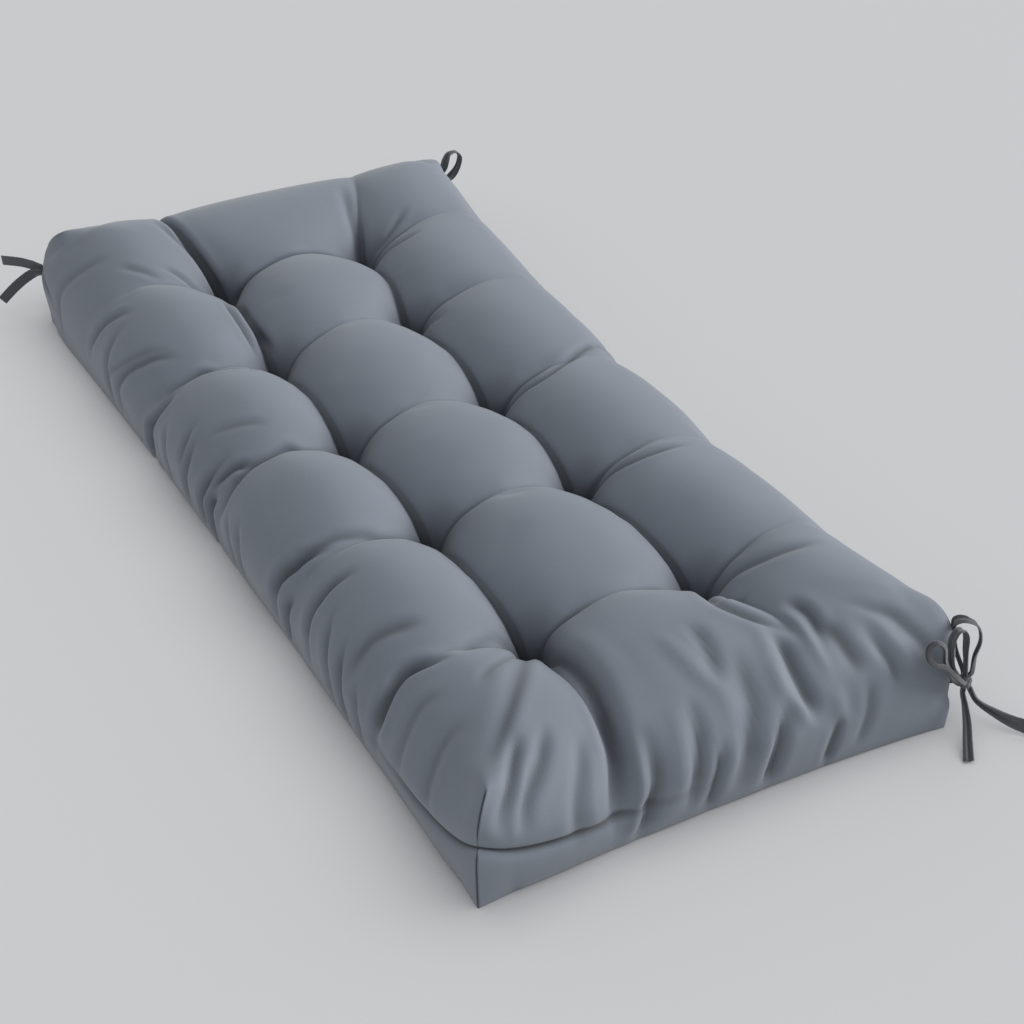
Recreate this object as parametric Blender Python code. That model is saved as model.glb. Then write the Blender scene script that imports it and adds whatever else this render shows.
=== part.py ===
"""A tufted bench cushion with boxed corners, and the tape ties sewn into three of its corners.

Metres, +Z up.  +X runs along the cushion towards its near end and +Y across it towards its right
side.  The origin is the centre of the underside, which lies flat on z = 0.
"""
import math

import bpy
import bmesh
from mathutils import Quaternion, Vector

# ---------------------------------------------------------------- driving sizes of the cushion
LENGTH = 1.216
WIDTH = 0.510
CREST_HEIGHT = 0.127            # top of the pillows between the tufts
SHOULDER_HEIGHT = 0.103         # where the top turns over into the sides
SHOULDER_INSET = 0.027          # how far the shoulder lies inside the sides
SHOULDER_ROLL = 0.090           # width over which the top falls to the shoulder
ROLL_POWER = 2.3
TUFT_PITCH = 0.1984             # along the cushion
ROW_SPREAD = 0.182              # between the two rows of tufts
TUFT_CREASE = 0.033             # depth of every crease where it reaches a tuft
TUFT_PIT = 0.014                # what the thread pulls down below the creases
TUFT_PIT_RADIUS = 0.040
UNDER_PIT = 0.011               # the same thread seen from below
UNDER_PIT_RADIUS = 0.050
PILLOW_ROUNDNESS = 0.90         # 0 gives a parabola, 1 a half circle between two creases
CORNER_REACH = 0.050            # how far along a side a corner keeps its own seam height
MIDDLE_SEAM_HEIGHT = 0.042      # the seam round the sides, away from the corners
PILLOW_STEPS = 10               # mesh columns and rows in each pillow
CREASE_CROWDING = 0.55          # share by which they gather towards the creases

COLUMN_COUNT = 5
COLUMN_X = [TUFT_PITCH * (column - (COLUMN_COUNT - 1) / 2) for column in range(COLUMN_COUNT)]
ROW_Y = [-ROW_SPREAD / 2, ROW_SPREAD / 2]
SHOULDER_X = LENGTH / 2 - SHOULDER_INSET
SHOULDER_Y = WIDTH / 2 - SHOULDER_INSET

# Depth of each crease that crosses the cushion: on the left shoulder, at the saddle between the
# two rows, and on the right shoulder.
CROSS_CREASES = (
    dict(left=0.004, saddle=0.027, right=0.001),
    dict(left=0.022, saddle=0.026, right=0.001),
    dict(left=0.019, saddle=0.030, right=0.010),
    dict(left=0.015, saddle=0.030, right=0.006),
    dict(left=0.017, saddle=0.031, right=0.002),
)
# The same for the creases along the two rows: on the far end's shoulder, at the saddles between
# the tufts, and on the near end's shoulder.
ROW_CREASES = (
    dict(far=0.008, saddle=0.033, near=0.016, far_drift=-0.026, near_drift=-0.013),
    dict(far=0.006, saddle=0.033, near=0.006, far_drift=0.045, near_drift=0.010),
)
DRIFT_REACH = 0.070             # how wide a strip leans with a drifting crease
# How far each tuft is pulled off the even grid, along and across the cushion.
TUFT_SHIFTS = (
    dict(column=0, row=0, along=0.012, across=0.000),
    dict(column=1, row=0, along=0.005, across=-0.007),
    dict(column=2, row=0, along=0.001, across=-0.006),
    dict(column=3, row=0, along=-0.008, across=0.001),
    dict(column=4, row=0, along=0.003, across=0.002),
    dict(column=0, row=1, along=0.008, across=-0.014),
    dict(column=1, row=1, along=-0.013, across=-0.016),
    dict(column=2, row=1, along=-0.001, across=-0.013),
    dict(column=3, row=1, along=-0.006, across=-0.013),
    dict(column=4, row=1, along=0.006, across=-0.003),
)
TUFT_SHIFT_REACH = 0.085

# How far each side is drawn in between its corners, on the floor and on the shoulder.  A negative
# draw is a side that swells out there.  peak is where along the side it is most drawn, from -1 to 1.
SIDES = (
    dict(name="left", axis=1, sign=-1, base=0.001, top=-0.006, peak=-0.1),
    dict(name="right", axis=1, sign=1, base=0.008, top=-0.0165, peak=-0.45),
    dict(name="near", axis=0, sign=1, base=0.006, top=-0.002, peak=0.0),
    dict(name="far", axis=0, sign=-1, base=0.008, top=-0.003, peak=0.0),
)

# The four corners of the boxed sides.  Each top and each base is shifted from the plain rectangle
# as it lies, and the darted corner stands up by its lift.
CORNERS = (
    dict(name="near_left", x=1, y=-1, top=(0.009, -0.005), base=(-0.004, 0.001), lift=0.026,
         seam=0.076, reach=0.16),
    dict(name="near_right", x=1, y=1, top=(-0.005, 0.032), base=(0.012, -0.009), lift=0.016,
         seam=0.030, reach=0.50),
    dict(name="far_left", x=-1, y=-1, top=(-0.036, 0.000), base=(-0.003, -0.018), lift=0.014,
         seam=0.070, reach=0.75),
    dict(name="far_right", x=-1, y=1, top=(0.011, 0.064), base=(0.014, 0.030), lift=0.006,
         seam=0.068, reach=0.55),
)

# The boxed side from the shoulder down to the floor.  level is 1 at the shoulder, 0 at the seam
# and -1 at the floor; corner is how far the side stands out past the shoulder at a corner, bulge
# is what the filling adds between the corners, and notch is the share of a crease's depth there.
SIDE_ROWS = (
    dict(level=0.87, corner=0.0080, bulge=0.010, notch=1.0),
    dict(level=0.68, corner=0.0150, bulge=0.015, notch=0.9),
    dict(level=0.44, corner=0.0200, bulge=0.017, notch=0.8),
    dict(level=0.18, corner=0.0225, bulge=0.013, notch=0.6),
    dict(level=0.00, corner=0.0240, bulge=0.006, notch=0.4),
    dict(level=-0.30, corner=0.0262, bulge=0.007, notch=0.3),
    dict(level=-0.80, corner=0.0270, bulge=0.003, notch=0.1),
    dict(level=-1.00, corner=0.0270, bulge=-0.005, notch=0.0),
)

# ---------------------------------------------------------------- driving sizes of the ties
TAPE_WIDTH = 0.014
GATHERED_WIDTH = 0.005          # the same tape where a knot gathers it
TAPE_THICKNESS = 0.0015
TAPE_STEPS = 3                  # mesh steps between two points of a route
SEAM_GAP = 0.0008               # what parts a tape from the seam that holds it
KNOT_GAP = 0.0005
STRAND_SPACING = 0.0021         # between two strands that leave the seam side by side

# Every route is a table of rows: right, up and out from where the tie starts, in metres, then the
# tape's twist in degrees and its width.  Right and out are level: out is square to the plane that
# the tie mostly lies in.  across is the direction of the tape's width before its twist.
LEFT_TIE_HEIGHT = 0.064
LEFT_STRANDS = (
    dict(name="tie_left_upper", beside=-0.5, route=(
        (0.000, 0.0030, -0.0002, 0, 0.010),
        (0.000, 0.0050, 0.013, 0, TAPE_WIDTH),
        (0.000, 0.0070, 0.028, 0, TAPE_WIDTH),
        (0.000, 0.0066, 0.056, 0, TAPE_WIDTH))),
    dict(name="tie_left_lower", beside=0.5, route=(
        (0.0003, -0.0030, 0.0005, 0, 0.009),
        (0.0010, -0.0034, 0.0060, 0, 0.012),
        (0.006, -0.0090, 0.017, 0, TAPE_WIDTH),
        (0.016, -0.0200, 0.031, 5, TAPE_WIDTH),
        (0.030, -0.0355, 0.046, 5, TAPE_WIDTH))),
)
FAR_LOOP_HEIGHT = 0.066         # of the far loop's root on its corner seam
FAR_LOOP_HEADING = 90.0         # degrees from +X to the loop's right
FAR_LOOP_ROUTE = (
    (0.0000, 0.0060, 0.000, 90, 0.009),
    (0.0120, 0.0080, 0.000, 70, 0.010),
    (0.0190, 0.0220, 0.000, 30, 0.012),
    (0.0240, 0.0300, 0.000, 5, 0.012),
    (0.0350, 0.0300, 0.000, 0, 0.011),
    (0.0405, 0.0210, 0.000, 0, 0.011),
    (0.0340, 0.0040, 0.000, -10, 0.011),
    (0.0200, -0.0070, 0.000, -60, 0.010),
    (0.0000, -0.0060, 0.000, -90, 0.009),
)

# The bow at the near right corner.  Its rows are measured from the knot's middle, and the ends at
# the knot are given by the directions in which the tape leaves it and comes back to it.
BOW_HEADING = 62.0
KNOT_HEIGHT = 0.047
KNOT_STANDOFF = 0.0115          # from the corner seam to the knot's middle
KNOT_RADII = (0.0075, 0.0085, 0.0065)
KNOT_LEAD = 0.004               # a tape's straight run out of the knot
BOW_TAPES = (
    dict(name="tie_bow_large_loop", across=(0.05, 0.28, 0.95), leaves=(0.45, 0.85, 0.00),
         returns=(-0.10, 0.60, -0.80), route=(
             (0.0070, 0.0280, -0.0020, 0, 0.009),
             (0.0110, 0.0450, -0.0040, 0, 0.012),
             (0.0100, 0.0560, -0.0070, 0, 0.012),
             (0.0055, 0.0615, -0.0110, 0, 0.012),
             (-0.0030, 0.0620, -0.0160, 0, 0.012),
             (-0.0095, 0.0550, -0.0230, 0, 0.012),
             (-0.0100, 0.0430, -0.0275, 0, 0.011),
             (-0.0075, 0.0230, -0.0215, 0, 0.008))),
    dict(name="tie_bow_inner_loop", across=(0.30, 0.30, 0.90), leaves=(-0.60, 0.70, 0.35),
         returns=(-0.10, 1.00, 0.10), route=(
             (-0.0145, 0.0236, 0.0080, 0, 0.008),
             (-0.0194, 0.0417, 0.0110, 0, 0.011),
             (-0.0200, 0.0590, 0.0115, 0, 0.012),
             (-0.0155, 0.0690, 0.0095, 0, 0.012),
             (-0.0100, 0.0680, 0.0065, 0, 0.012),
             (-0.0055, 0.0580, 0.0040, 0, 0.012),
             (-0.0040, 0.0380, 0.0025, 0, 0.010))),
    dict(name="tie_bow_small_loop", across=(0.30, 0.50, 0.80), leaves=(-0.30, 0.45, 0.85),
         returns=(-0.65, 0.25, 0.70), route=(
             (-0.0150, 0.0230, 0.0200, 0, 0.005),
             (-0.0280, 0.0400, 0.0260, 0, 0.005),
             (-0.0370, 0.0440, 0.0290, 0, 0.005),
             (-0.0445, 0.0540, 0.0290, 0, 0.005),
             (-0.0440, 0.0660, 0.0280, 0, 0.005),
             (-0.0370, 0.0700, 0.0270, 0, 0.005),
             (-0.0300, 0.0620, 0.0250, 0, 0.005),
             (-0.0260, 0.0400, 0.0190, 0, 0.005),
             (-0.0170, 0.0160, 0.0130, 0, 0.005))),
    dict(name="tie_bow_down_tail", across=(1.00, 0.00, 0.35), leaves=(-0.12, -0.95, 0.30), route=(
        (0.0000, -0.0200, 0.0110, 8, 0.006),
        (0.0000, -0.0290, 0.0270, 5, 0.008),
        (-0.0020, -0.0370, 0.0450, 0, 0.009),
        (-0.0040, -0.0445, 0.0640, 0, 0.010))),
    dict(name="tie_bow_side_tail", across=(0.30, 0.90, -0.30), leaves=(0.48, -0.85, -0.20), route=(
        (0.0130, -0.0215, 0.0050, 0, 0.005),
        (0.0313, -0.0300, 0.0150, 0, 0.009),
        (0.0450, -0.0340, 0.0220, 0, 0.012),
        (0.0580, -0.0370, 0.0270, 0, TAPE_WIDTH),
        (0.0710, -0.0385, 0.0370, 0, TAPE_WIDTH))),
)

FABRIC_COLOUR = (0.190, 0.213, 0.250, 1.0)
TAPE_COLOUR = (0.088, 0.093, 0.101, 1.0)


# ---------------------------------------------------------------- small helpers
def clear_scene():
    for old in list(bpy.data.objects):
        bpy.data.objects.remove(old, do_unlink=True)


def fabric_material(name, colour, roughness):
    material = bpy.data.materials.new(name)
    material.use_nodes = True
    shader = material.node_tree.nodes["Principled BSDF"]
    shader.inputs["Base Color"].default_value = colour
    shader.inputs["Roughness"].default_value = roughness
    shader.inputs["Metallic"].default_value = 0.0
    return material


def add_object(name, points, faces, material):
    mesh = bpy.data.meshes.new(name)
    mesh.from_pydata([tuple(point) for point in points], [], faces)
    body = bmesh.new()
    body.from_mesh(mesh)
    bmesh.ops.triangulate(body, faces=[face for face in body.faces if len(face.verts) > 3])
    bmesh.ops.recalc_face_normals(body, faces=body.faces)
    body.to_mesh(mesh)
    body.free()
    mesh.materials.append(material)
    mesh.shade_smooth()
    piece = bpy.data.objects.new(name, mesh)
    bpy.context.scene.collection.objects.link(piece)
    return piece


def blend(start, end, share):
    return start + (end - start) * share


def smooth_max(one, other):
    """The larger of two depths, rounded where they are alike."""
    return (one ** 4 + other ** 4) ** 0.25


# ---------------------------------------------------------------- the cushion's surface
def crease_profile(share):
    """0 on a pillow's crest and 1 in the crease, along a flattened arc."""
    arc = 1 - math.sqrt(1 - (PILLOW_ROUNDNESS * share) ** 2)
    return arc / (1 - math.sqrt(1 - PILLOW_ROUNDNESS ** 2))


def nearest_crease(place, creases):
    """The nearest crease, and how far place is from the pillow's crest to it, from 0 to 1."""
    distances = [abs(place - crease) for crease in creases]
    nearest = min(range(len(creases)), key=distances.__getitem__)
    half_pillow = abs(creases[1] - creases[0]) / 2
    return nearest, max(0.0, 1 - distances[nearest] / half_pillow)


def crease_depth(place, creases, start_depth, saddle_depth, end_depth, shoulder):
    """Depth along one crease, which is TUFT_CREASE deep at each tuft it passes."""
    first = creases[0]
    last = creases[-1]
    if first <= place <= last:
        pitch = creases[1] - creases[0]
        away = abs((place - first) / pitch % 1 - 0.5) * 2
        return blend(saddle_depth, TUFT_CREASE, away ** 2)
    run = (first - place) if place < first else (place - last)
    share = min(1.0, run / (shoulder - abs(last)))
    end = start_depth if place < first else end_depth
    return blend(end, TUFT_CREASE, (1 - share) ** 1.5)


def crease_drop(x, y):
    """How far the creases and tufts pull the top down at a place on the panel."""
    column, column_share = nearest_crease(x, COLUMN_X)
    row, row_share = nearest_crease(y, ROW_Y)
    cross = CROSS_CREASES[column]
    along = ROW_CREASES[row]
    cross_depth = crease_depth(y, ROW_Y, cross["left"], cross["saddle"], cross["right"], SHOULDER_Y)
    row_depth = crease_depth(x, COLUMN_X, along["far"], along["saddle"], along["near"], SHOULDER_X)
    reach = math.hypot(x - COLUMN_X[column], y - ROW_Y[row])
    pit = TUFT_PIT * max(0.0, 1 - reach / TUFT_PIT_RADIUS) ** 2
    return cross_depth * crease_profile(column_share) + row_depth * crease_profile(row_share) + pit


def shoulder_roll(x, y):
    """The fall of the top towards its shoulders."""
    fall = []
    for place, half in ((x, SHOULDER_X), (y, SHOULDER_Y)):
        share = max(0.0, 1 - (half - abs(place)) / SHOULDER_ROLL)
        fall.append((CREST_HEIGHT - SHOULDER_HEIGHT) * share ** ROLL_POWER)
    return smooth_max(*fall)


def corner_weight(x, y, corner):
    """1 at a corner of the plain rectangle, fading to 0 at the corner's reach."""
    away = math.hypot(x - corner["x"] * SHOULDER_X, y - corner["y"] * SHOULDER_Y)
    return max(0.0, 1 - away / corner["reach"]) ** 2


def crease_drift(x, y):
    """How far the rows' creases lean off their line past the last tufts, along Y."""
    past = abs(x) - COLUMN_X[-1]
    if past <= 0:
        return 0.0
    share = past / (SHOULDER_X - COLUMN_X[-1])
    end = "far_drift" if x < 0 else "near_drift"
    return sum(crease[end] * share * math.exp(-((y - row_y) / DRIFT_REACH) ** 2)
               for crease, row_y in zip(ROW_CREASES, ROW_Y))


def settle(x, y, standing, height_share):
    """Move a place on the plain rectangle to where the cushion lies.

    standing is how far the place stands out past the shoulder rectangle, and height_share runs
    from 0 at the floor to 1 on the shoulder.
    """
    shares = (x / SHOULDER_X, y / SHOULDER_Y)
    moved = [x + standing * shares[0], y + standing * shares[1] + crease_drift(x, y)]
    for side in SIDES:
        towards = max(0.0, shares[side["axis"]] * side["sign"])
        along = shares[1 - side["axis"]] - side["peak"]
        between = 1 - (along / (1 - side["peak"] if along > 0 else 1 + side["peak"])) ** 2
        draw = blend(side["base"], side["top"], height_share) * between * towards ** 2
        moved[side["axis"]] -= side["sign"] * draw
    for tuft in TUFT_SHIFTS:
        away = math.hypot(x - COLUMN_X[tuft["column"]], y - ROW_Y[tuft["row"]])
        pull = math.exp(-(away / TUFT_SHIFT_REACH) ** 2)
        moved[0] += tuft["along"] * pull
        moved[1] += tuft["across"] * pull
    for corner in CORNERS:
        weight = corner_weight(x, y, corner)
        moved[0] += weight * blend(corner["base"][0], corner["top"][0], height_share)
        moved[1] += weight * blend(corner["base"][1], corner["top"][1], height_share)
    return moved


def top_point(x, y):
    height = CREST_HEIGHT - crease_drop(x, y) - shoulder_roll(x, y)
    for corner in CORNERS:
        height += corner["lift"] * corner_weight(x, y, corner) ** 2
    moved_x, moved_y = settle(x, y, 0.0, 1.0)
    return Vector((moved_x, moved_y, height))


def under_point(x, y):
    column = nearest_crease(x, COLUMN_X)[0]
    row = nearest_crease(y, ROW_Y)[0]
    reach = math.hypot(x - COLUMN_X[column], y - ROW_Y[row])
    height = UNDER_PIT * max(0.0, 1 - reach / UNDER_PIT_RADIUS) ** 2
    floor_row = SIDE_ROWS[-1]
    edge_share = max(abs(x) / SHOULDER_X, abs(y) / SHOULDER_Y) ** 2
    standing = floor_row["corner"] + floor_row["bulge"] * corner_distance_share(x, y)
    moved_x, moved_y = settle(x, y, standing * edge_share, 0.0)
    return Vector((moved_x, moved_y, height))


def corner_distance_share(x, y):
    """0 at a corner of the sides and near 1 away from it."""
    away = min(math.hypot(x - c["x"] * SHOULDER_X, y - c["y"] * SHOULDER_Y) for c in CORNERS)
    return 1 - math.exp(-away / CORNER_REACH)


def seam_height(x, y):
    height = MIDDLE_SEAM_HEIGHT
    for corner in CORNERS:
        away = math.hypot(x - corner["x"] * SHOULDER_X, y - corner["y"] * SHOULDER_Y)
        height += (corner["seam"] - MIDDLE_SEAM_HEIGHT) * math.exp(-away / CORNER_REACH)
    return height


def side_point(x, y, row):
    """The point of one side row below the shoulder point at x, y."""
    shoulder = top_point(x, y)
    seam = seam_height(x, y)
    level = row["level"]
    height = blend(seam, shoulder.z, level) if level >= 0 else seam * (1 + level)
    between = corner_distance_share(x, y)
    notch = row["notch"] * crease_drop(x, y) * between
    standing = row["corner"] + row["bulge"] * between - notch
    moved_x, moved_y = settle(x, y, standing, max(0.0, height / shoulder.z))
    return Vector((moved_x, moved_y, height))


def panel_stations(creases, shoulder):
    """Places of the mesh columns across a panel, gathered towards the creases."""
    stops = [-shoulder] + list(creases) + [shoulder]
    stations = [-shoulder]
    for start, end in zip(stops, stops[1:]):
        for step in range(1, PILLOW_STEPS + 1):
            even = step / PILLOW_STEPS
            gathered = (1 - math.cos(math.pi * even)) / 2
            stations.append(blend(start, end, blend(even, gathered, CREASE_CROWDING)))
    return stations


def panel_border(columns, rows):
    """Grid indices round the edge of a panel, once round."""
    last_column = columns - 1
    last_row = rows - 1
    border = [(column, 0) for column in range(last_column)]
    border += [(last_column, row) for row in range(last_row)]
    border += [(column, last_row) for column in range(last_column, 0, -1)]
    border += [(0, row) for row in range(last_row, 0, -1)]
    return border


def make_cushion(material):
    xs = panel_stations(COLUMN_X, SHOULDER_X)
    ys = panel_stations(ROW_Y, SHOULDER_Y)
    columns = len(xs)
    rows = len(ys)
    border = panel_border(columns, rows)
    points = [top_point(x, y) for x in xs for y in ys]
    faces = []

    def top_index(column, row):
        return column * rows + row

    for column in range(columns - 1):
        for row in range(rows - 1):
            faces.append((top_index(column, row), top_index(column + 1, row),
                          top_index(column + 1, row + 1), top_index(column, row + 1)))

    # The sides, row by row, down to the rim of the underside.
    above = [top_index(column, row) for column, row in border]
    for side_row in SIDE_ROWS[:-1]:
        below = list(range(len(points), len(points) + len(border)))
        points += [side_point(xs[column], ys[row], side_row) for column, row in border]
        faces += ring_faces(above, below)
        above = below

    # The underside, whose rim is the last side row.
    first_under = len(points)
    points += [under_point(x, y) for x in xs for y in ys]
    for column in range(columns - 1):
        for row in range(rows - 1):
            faces.append((first_under + top_index(column, row),
                          first_under + top_index(column, row + 1),
                          first_under + top_index(column + 1, row + 1),
                          first_under + top_index(column + 1, row)))
    rim = [first_under + top_index(column, row) for column, row in border]
    faces += ring_faces(above, rim)
    return add_object("cushion", points, faces, material)


def ring_faces(above, below):
    count = len(above)
    return [(above[i], below[i], below[(i + 1) % count], above[(i + 1) % count])
            for i in range(count)]


def corner_point(name, height):
    """A point on the upright seam of a corner."""
    corner = next(c for c in CORNERS if c["name"] == name)
    x = corner["x"] * SHOULDER_X
    y = corner["y"] * SHOULDER_Y
    seam_line = [top_point(x, y)] + [side_point(x, y, row) for row in SIDE_ROWS]
    for upper, lower in zip(seam_line, seam_line[1:]):
        if lower.z <= height <= upper.z:
            return lower.lerp(upper, (height - lower.z) / (upper.z - lower.z))
    return seam_line[-1]


# ---------------------------------------------------------------- the tape ties
def smooth_route(route):
    """Rows on a smooth curve through the route's own rows, TAPE_STEPS to each stretch."""
    runs = [math.dist(row[:3], following[:3]) for row, following in zip(route, route[1:])]
    last = len(route) - 1
    slopes = []
    for index in range(len(route)):
        before = max(index - 1, 0)
        after = min(index + 1, last)
        run = sum(runs[before:after])
        slopes.append([(b - a) / run for a, b in zip(route[before], route[after])])
    samples = []
    for index, run in enumerate(runs):
        for step in range(TAPE_STEPS):
            t = step / TAPE_STEPS
            ease = t * t * (3 - 2 * t)
            leaving = run * t * (1 - t) ** 2
            arriving = run * t * t * (1 - t)
            rows = zip(route[index], route[index + 1], slopes[index], slopes[index + 1])
            samples.append([blend(a, b, ease) + leaving * slope_a - arriving * slope_b
                            for a, b, slope_a, slope_b in rows])
    samples.append(list(route[last]))
    return samples


def make_tape(name, route, start, right, across, material):
    """A flat tape of oblong section along a route table.

    right is the level direction of the table's first column, and across is the direction of the
    tape's width before its twist, both in world axes.
    """
    out = right.cross(Vector((0, 0, 1)))
    samples = smooth_route(route)
    centres = [start + right * row[0] + Vector((0, 0, row[1])) + out * row[2] for row in samples]
    points = []
    for index, centre in enumerate(centres):
        tangent = centres[min(index + 1, len(centres) - 1)] - centres[max(index - 1, 0)]
        tangent.normalize()
        side = (across - tangent * tangent.dot(across)).normalized()
        side = Quaternion(tangent, math.radians(samples[index][3])) @ side
        half_width = side * samples[index][4] / 2
        half_thickness = tangent.cross(side) * TAPE_THICKNESS / 2
        points += [centre + half_width + half_thickness, centre - half_width + half_thickness,
                   centre - half_width - half_thickness, centre + half_width - half_thickness]
    faces = [(0, 1, 2, 3)]
    for index in range(len(centres) - 1):
        above = list(range(index * 4, index * 4 + 4))
        faces += ring_faces(above, [point + 4 for point in above])
    end = len(points)
    faces.append((end - 1, end - 2, end - 3, end - 4))
    return add_object(name, points, faces, material)


def corner_outward(name):
    corner = next(c for c in CORNERS if c["name"] == name)
    return Vector((corner["x"], corner["y"], 0)).normalized()


def level_axes(heading):
    """The right and out directions of a tie whose right points along a heading in degrees."""
    right = Vector((math.cos(math.radians(heading)), math.sin(math.radians(heading)), 0))
    return right, right.cross(Vector((0, 0, 1)))


def make_left_tie(material):
    """Two strands of tape that leave the far left corner seam side by side."""
    outward = corner_outward("far_left")
    right = Vector((0, 0, 1)).cross(outward)
    seam = corner_point("far_left", LEFT_TIE_HEIGHT) + outward * SEAM_GAP
    for strand in LEFT_STRANDS:
        start = seam + right * strand["beside"] * STRAND_SPACING
        make_tape(strand["name"], strand["route"], start, right, Vector((0, 0, 1)), material)


def make_far_loop(material):
    """A strand whose two ends are sewn into the far right corner seam, one above the other."""
    right, out = level_axes(FAR_LOOP_HEADING)
    start = corner_point("far_right", FAR_LOOP_HEIGHT) + corner_outward("far_right") * SEAM_GAP
    make_tape("tie_far_loop", FAR_LOOP_ROUTE, start, right, out, material)


def knot_rows(direction):
    """The two route rows of a tape's straight run out of the knot."""
    length = math.sqrt(sum(part ** 2 for part in direction))
    unit = [part / length for part in direction]
    surface = 1 / math.sqrt(sum((part / radius) ** 2 for part, radius in zip(unit, KNOT_RADII)))
    return [(*[part * (surface + beyond) for part in unit], 0, GATHERED_WIDTH)
            for beyond in (KNOT_GAP, KNOT_LEAD)]


def make_bow(material):
    """A knot held at the near right corner seam, with its loops and its two tails."""
    right, out = level_axes(BOW_HEADING)
    axes = (right, Vector((0, 0, 1)), out)
    outward = corner_outward("near_right")
    seam = corner_point("near_right", KNOT_HEIGHT)
    knot = seam + outward * KNOT_STANDOFF
    make_knot(knot, axes, material)
    for tape in BOW_TAPES:
        route = knot_rows(tape["leaves"]) + list(tape["route"])
        if "returns" in tape:
            route += reversed(knot_rows(tape["returns"]))
        across = sum((axis * part for axis, part in zip(axes, tape["across"])), Vector())
        make_tape(tape["name"], route, knot, right, across, material)

    # The gathered end that leads from the seam to the knot.
    strap_length = KNOT_STANDOFF - SEAM_GAP - KNOT_GAP - max(KNOT_RADII[0], KNOT_RADII[2])
    strap = ((0, 0, 0, 0, 0.010), (0, 0, strap_length, 0, GATHERED_WIDTH))
    start = seam + outward * SEAM_GAP
    make_tape("tie_bow_root", strap, start, axes[1].cross(outward), axes[1], material)


def make_knot(centre, axes, material):
    body = bmesh.new()
    bmesh.ops.create_icosphere(body, subdivisions=3, radius=1.0)
    points = []
    for vertex in body.verts:
        parts = zip(axes, (vertex.co.x, vertex.co.z, vertex.co.y), KNOT_RADII)
        points.append(sum((axis * part * radius for axis, part, radius in parts), centre))
    faces = [[vertex.index for vertex in face.verts] for face in body.faces]
    body.free()
    add_object("tie_bow_knot", points, faces, material)


def main():
    clear_scene()
    fabric = fabric_material("slate_fabric", FABRIC_COLOUR, 0.85)
    tape = fabric_material("tie_tape", TAPE_COLOUR, 0.80)
    make_cushion(fabric)
    make_left_tie(tape)
    make_far_loop(tape)
    make_bow(tape)


main()
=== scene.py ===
"""The bench cushion as it looks: cloth, folds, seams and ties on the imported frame.

Metres, +Z up, in the frame's own axes.  Places on the cushion are given on its flat panel: x along
the cushion towards the near end and y across it towards the right side.  Past a shoulder they go on
down the side, so y = -0.26 lies about 3 cm down the left side.
"""
import math

import bpy
import numpy as np
from mathutils import Matrix, Quaternion, Vector


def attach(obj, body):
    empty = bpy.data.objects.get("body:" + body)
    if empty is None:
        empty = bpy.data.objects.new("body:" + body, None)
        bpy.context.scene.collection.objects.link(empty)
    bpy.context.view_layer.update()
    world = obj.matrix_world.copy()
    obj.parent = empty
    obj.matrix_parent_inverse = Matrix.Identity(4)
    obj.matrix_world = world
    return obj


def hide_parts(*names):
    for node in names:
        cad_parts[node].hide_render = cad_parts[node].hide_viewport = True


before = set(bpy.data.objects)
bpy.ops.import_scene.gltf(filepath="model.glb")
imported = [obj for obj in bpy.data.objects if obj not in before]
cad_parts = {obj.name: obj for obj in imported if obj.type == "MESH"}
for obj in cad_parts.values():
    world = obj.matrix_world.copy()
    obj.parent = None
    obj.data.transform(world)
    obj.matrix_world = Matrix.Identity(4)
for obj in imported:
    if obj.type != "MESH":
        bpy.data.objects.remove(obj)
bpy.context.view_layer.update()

# -------------------------------- sizes shared with the solids
LENGTH = 1.216
WIDTH = 0.510
CREST_HEIGHT = 0.127
SHOULDER_HEIGHT = 0.103
SHOULDER_INSET = 0.027
SHOULDER_ROLL = 0.090
ROLL_POWER = 2.3
TUFT_PITCH = 0.1984
ROW_SPREAD = 0.182
ROW_TUFT_DEPTH = 0.035          # of the creases along the rows, at a tuft
CROSS_TUFT_DEPTH = 0.024        # and of those across the cushion
TUFT_PIT = 0.018
TUFT_PIT_RADIUS = 0.042
UNDER_PIT = 0.011
UNDER_PIT_RADIUS = 0.050
CROSS_ROUNDNESS = 0.60          # of the pillows along the cushion, from a cross crease to the next
ROW_ROUNDNESS = 0.945           # and across it
CORNER_REACH = 0.050
MIDDLE_SEAM_HEIGHT = 0.042

COLUMN_X = [TUFT_PITCH * (column - 2) for column in range(5)]
ROW_Y = [-ROW_SPREAD / 2, ROW_SPREAD / 2]
SHOULDER_X = LENGTH / 2 - SHOULDER_INSET
SHOULDER_Y = WIDTH / 2 - SHOULDER_INSET

# How deep each crease is at its two ends and at the saddle between two tufts, and for the rows how
# far the crease leans off its line at each end.
CROSS_CREASES = (
    dict(left=0.004, saddle=0.016, right=0.001),
    dict(left=0.018, saddle=0.011, right=0.001),
    dict(left=0.016, saddle=0.012, right=0.008),
    dict(left=0.012, saddle=0.013, right=0.006),
    dict(left=0.008, saddle=0.015, right=0.002),
)
ROW_CREASES = (
    dict(far=0.008, saddle=0.033, near=0.016, far_drift=-0.026, near_drift=-0.013),
    dict(far=0.006, saddle=0.033, near=0.006, far_drift=0.045, near_drift=0.010),
)
DRIFT_REACH = 0.070
TUFT_SHIFTS = (                 # how far each row's tufts lie off the even grid, along and across
    ((0.018, -0.004), (0.008, -0.010), (0.005, -0.008), (-0.004, -0.001), (0.004, -0.002)),
    ((0.014, -0.017), (-0.010, -0.018), (0.003, -0.015), (-0.002, -0.014), (0.012, -0.006)),
)
TUFT_SHIFT_REACH = 0.085
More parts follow.
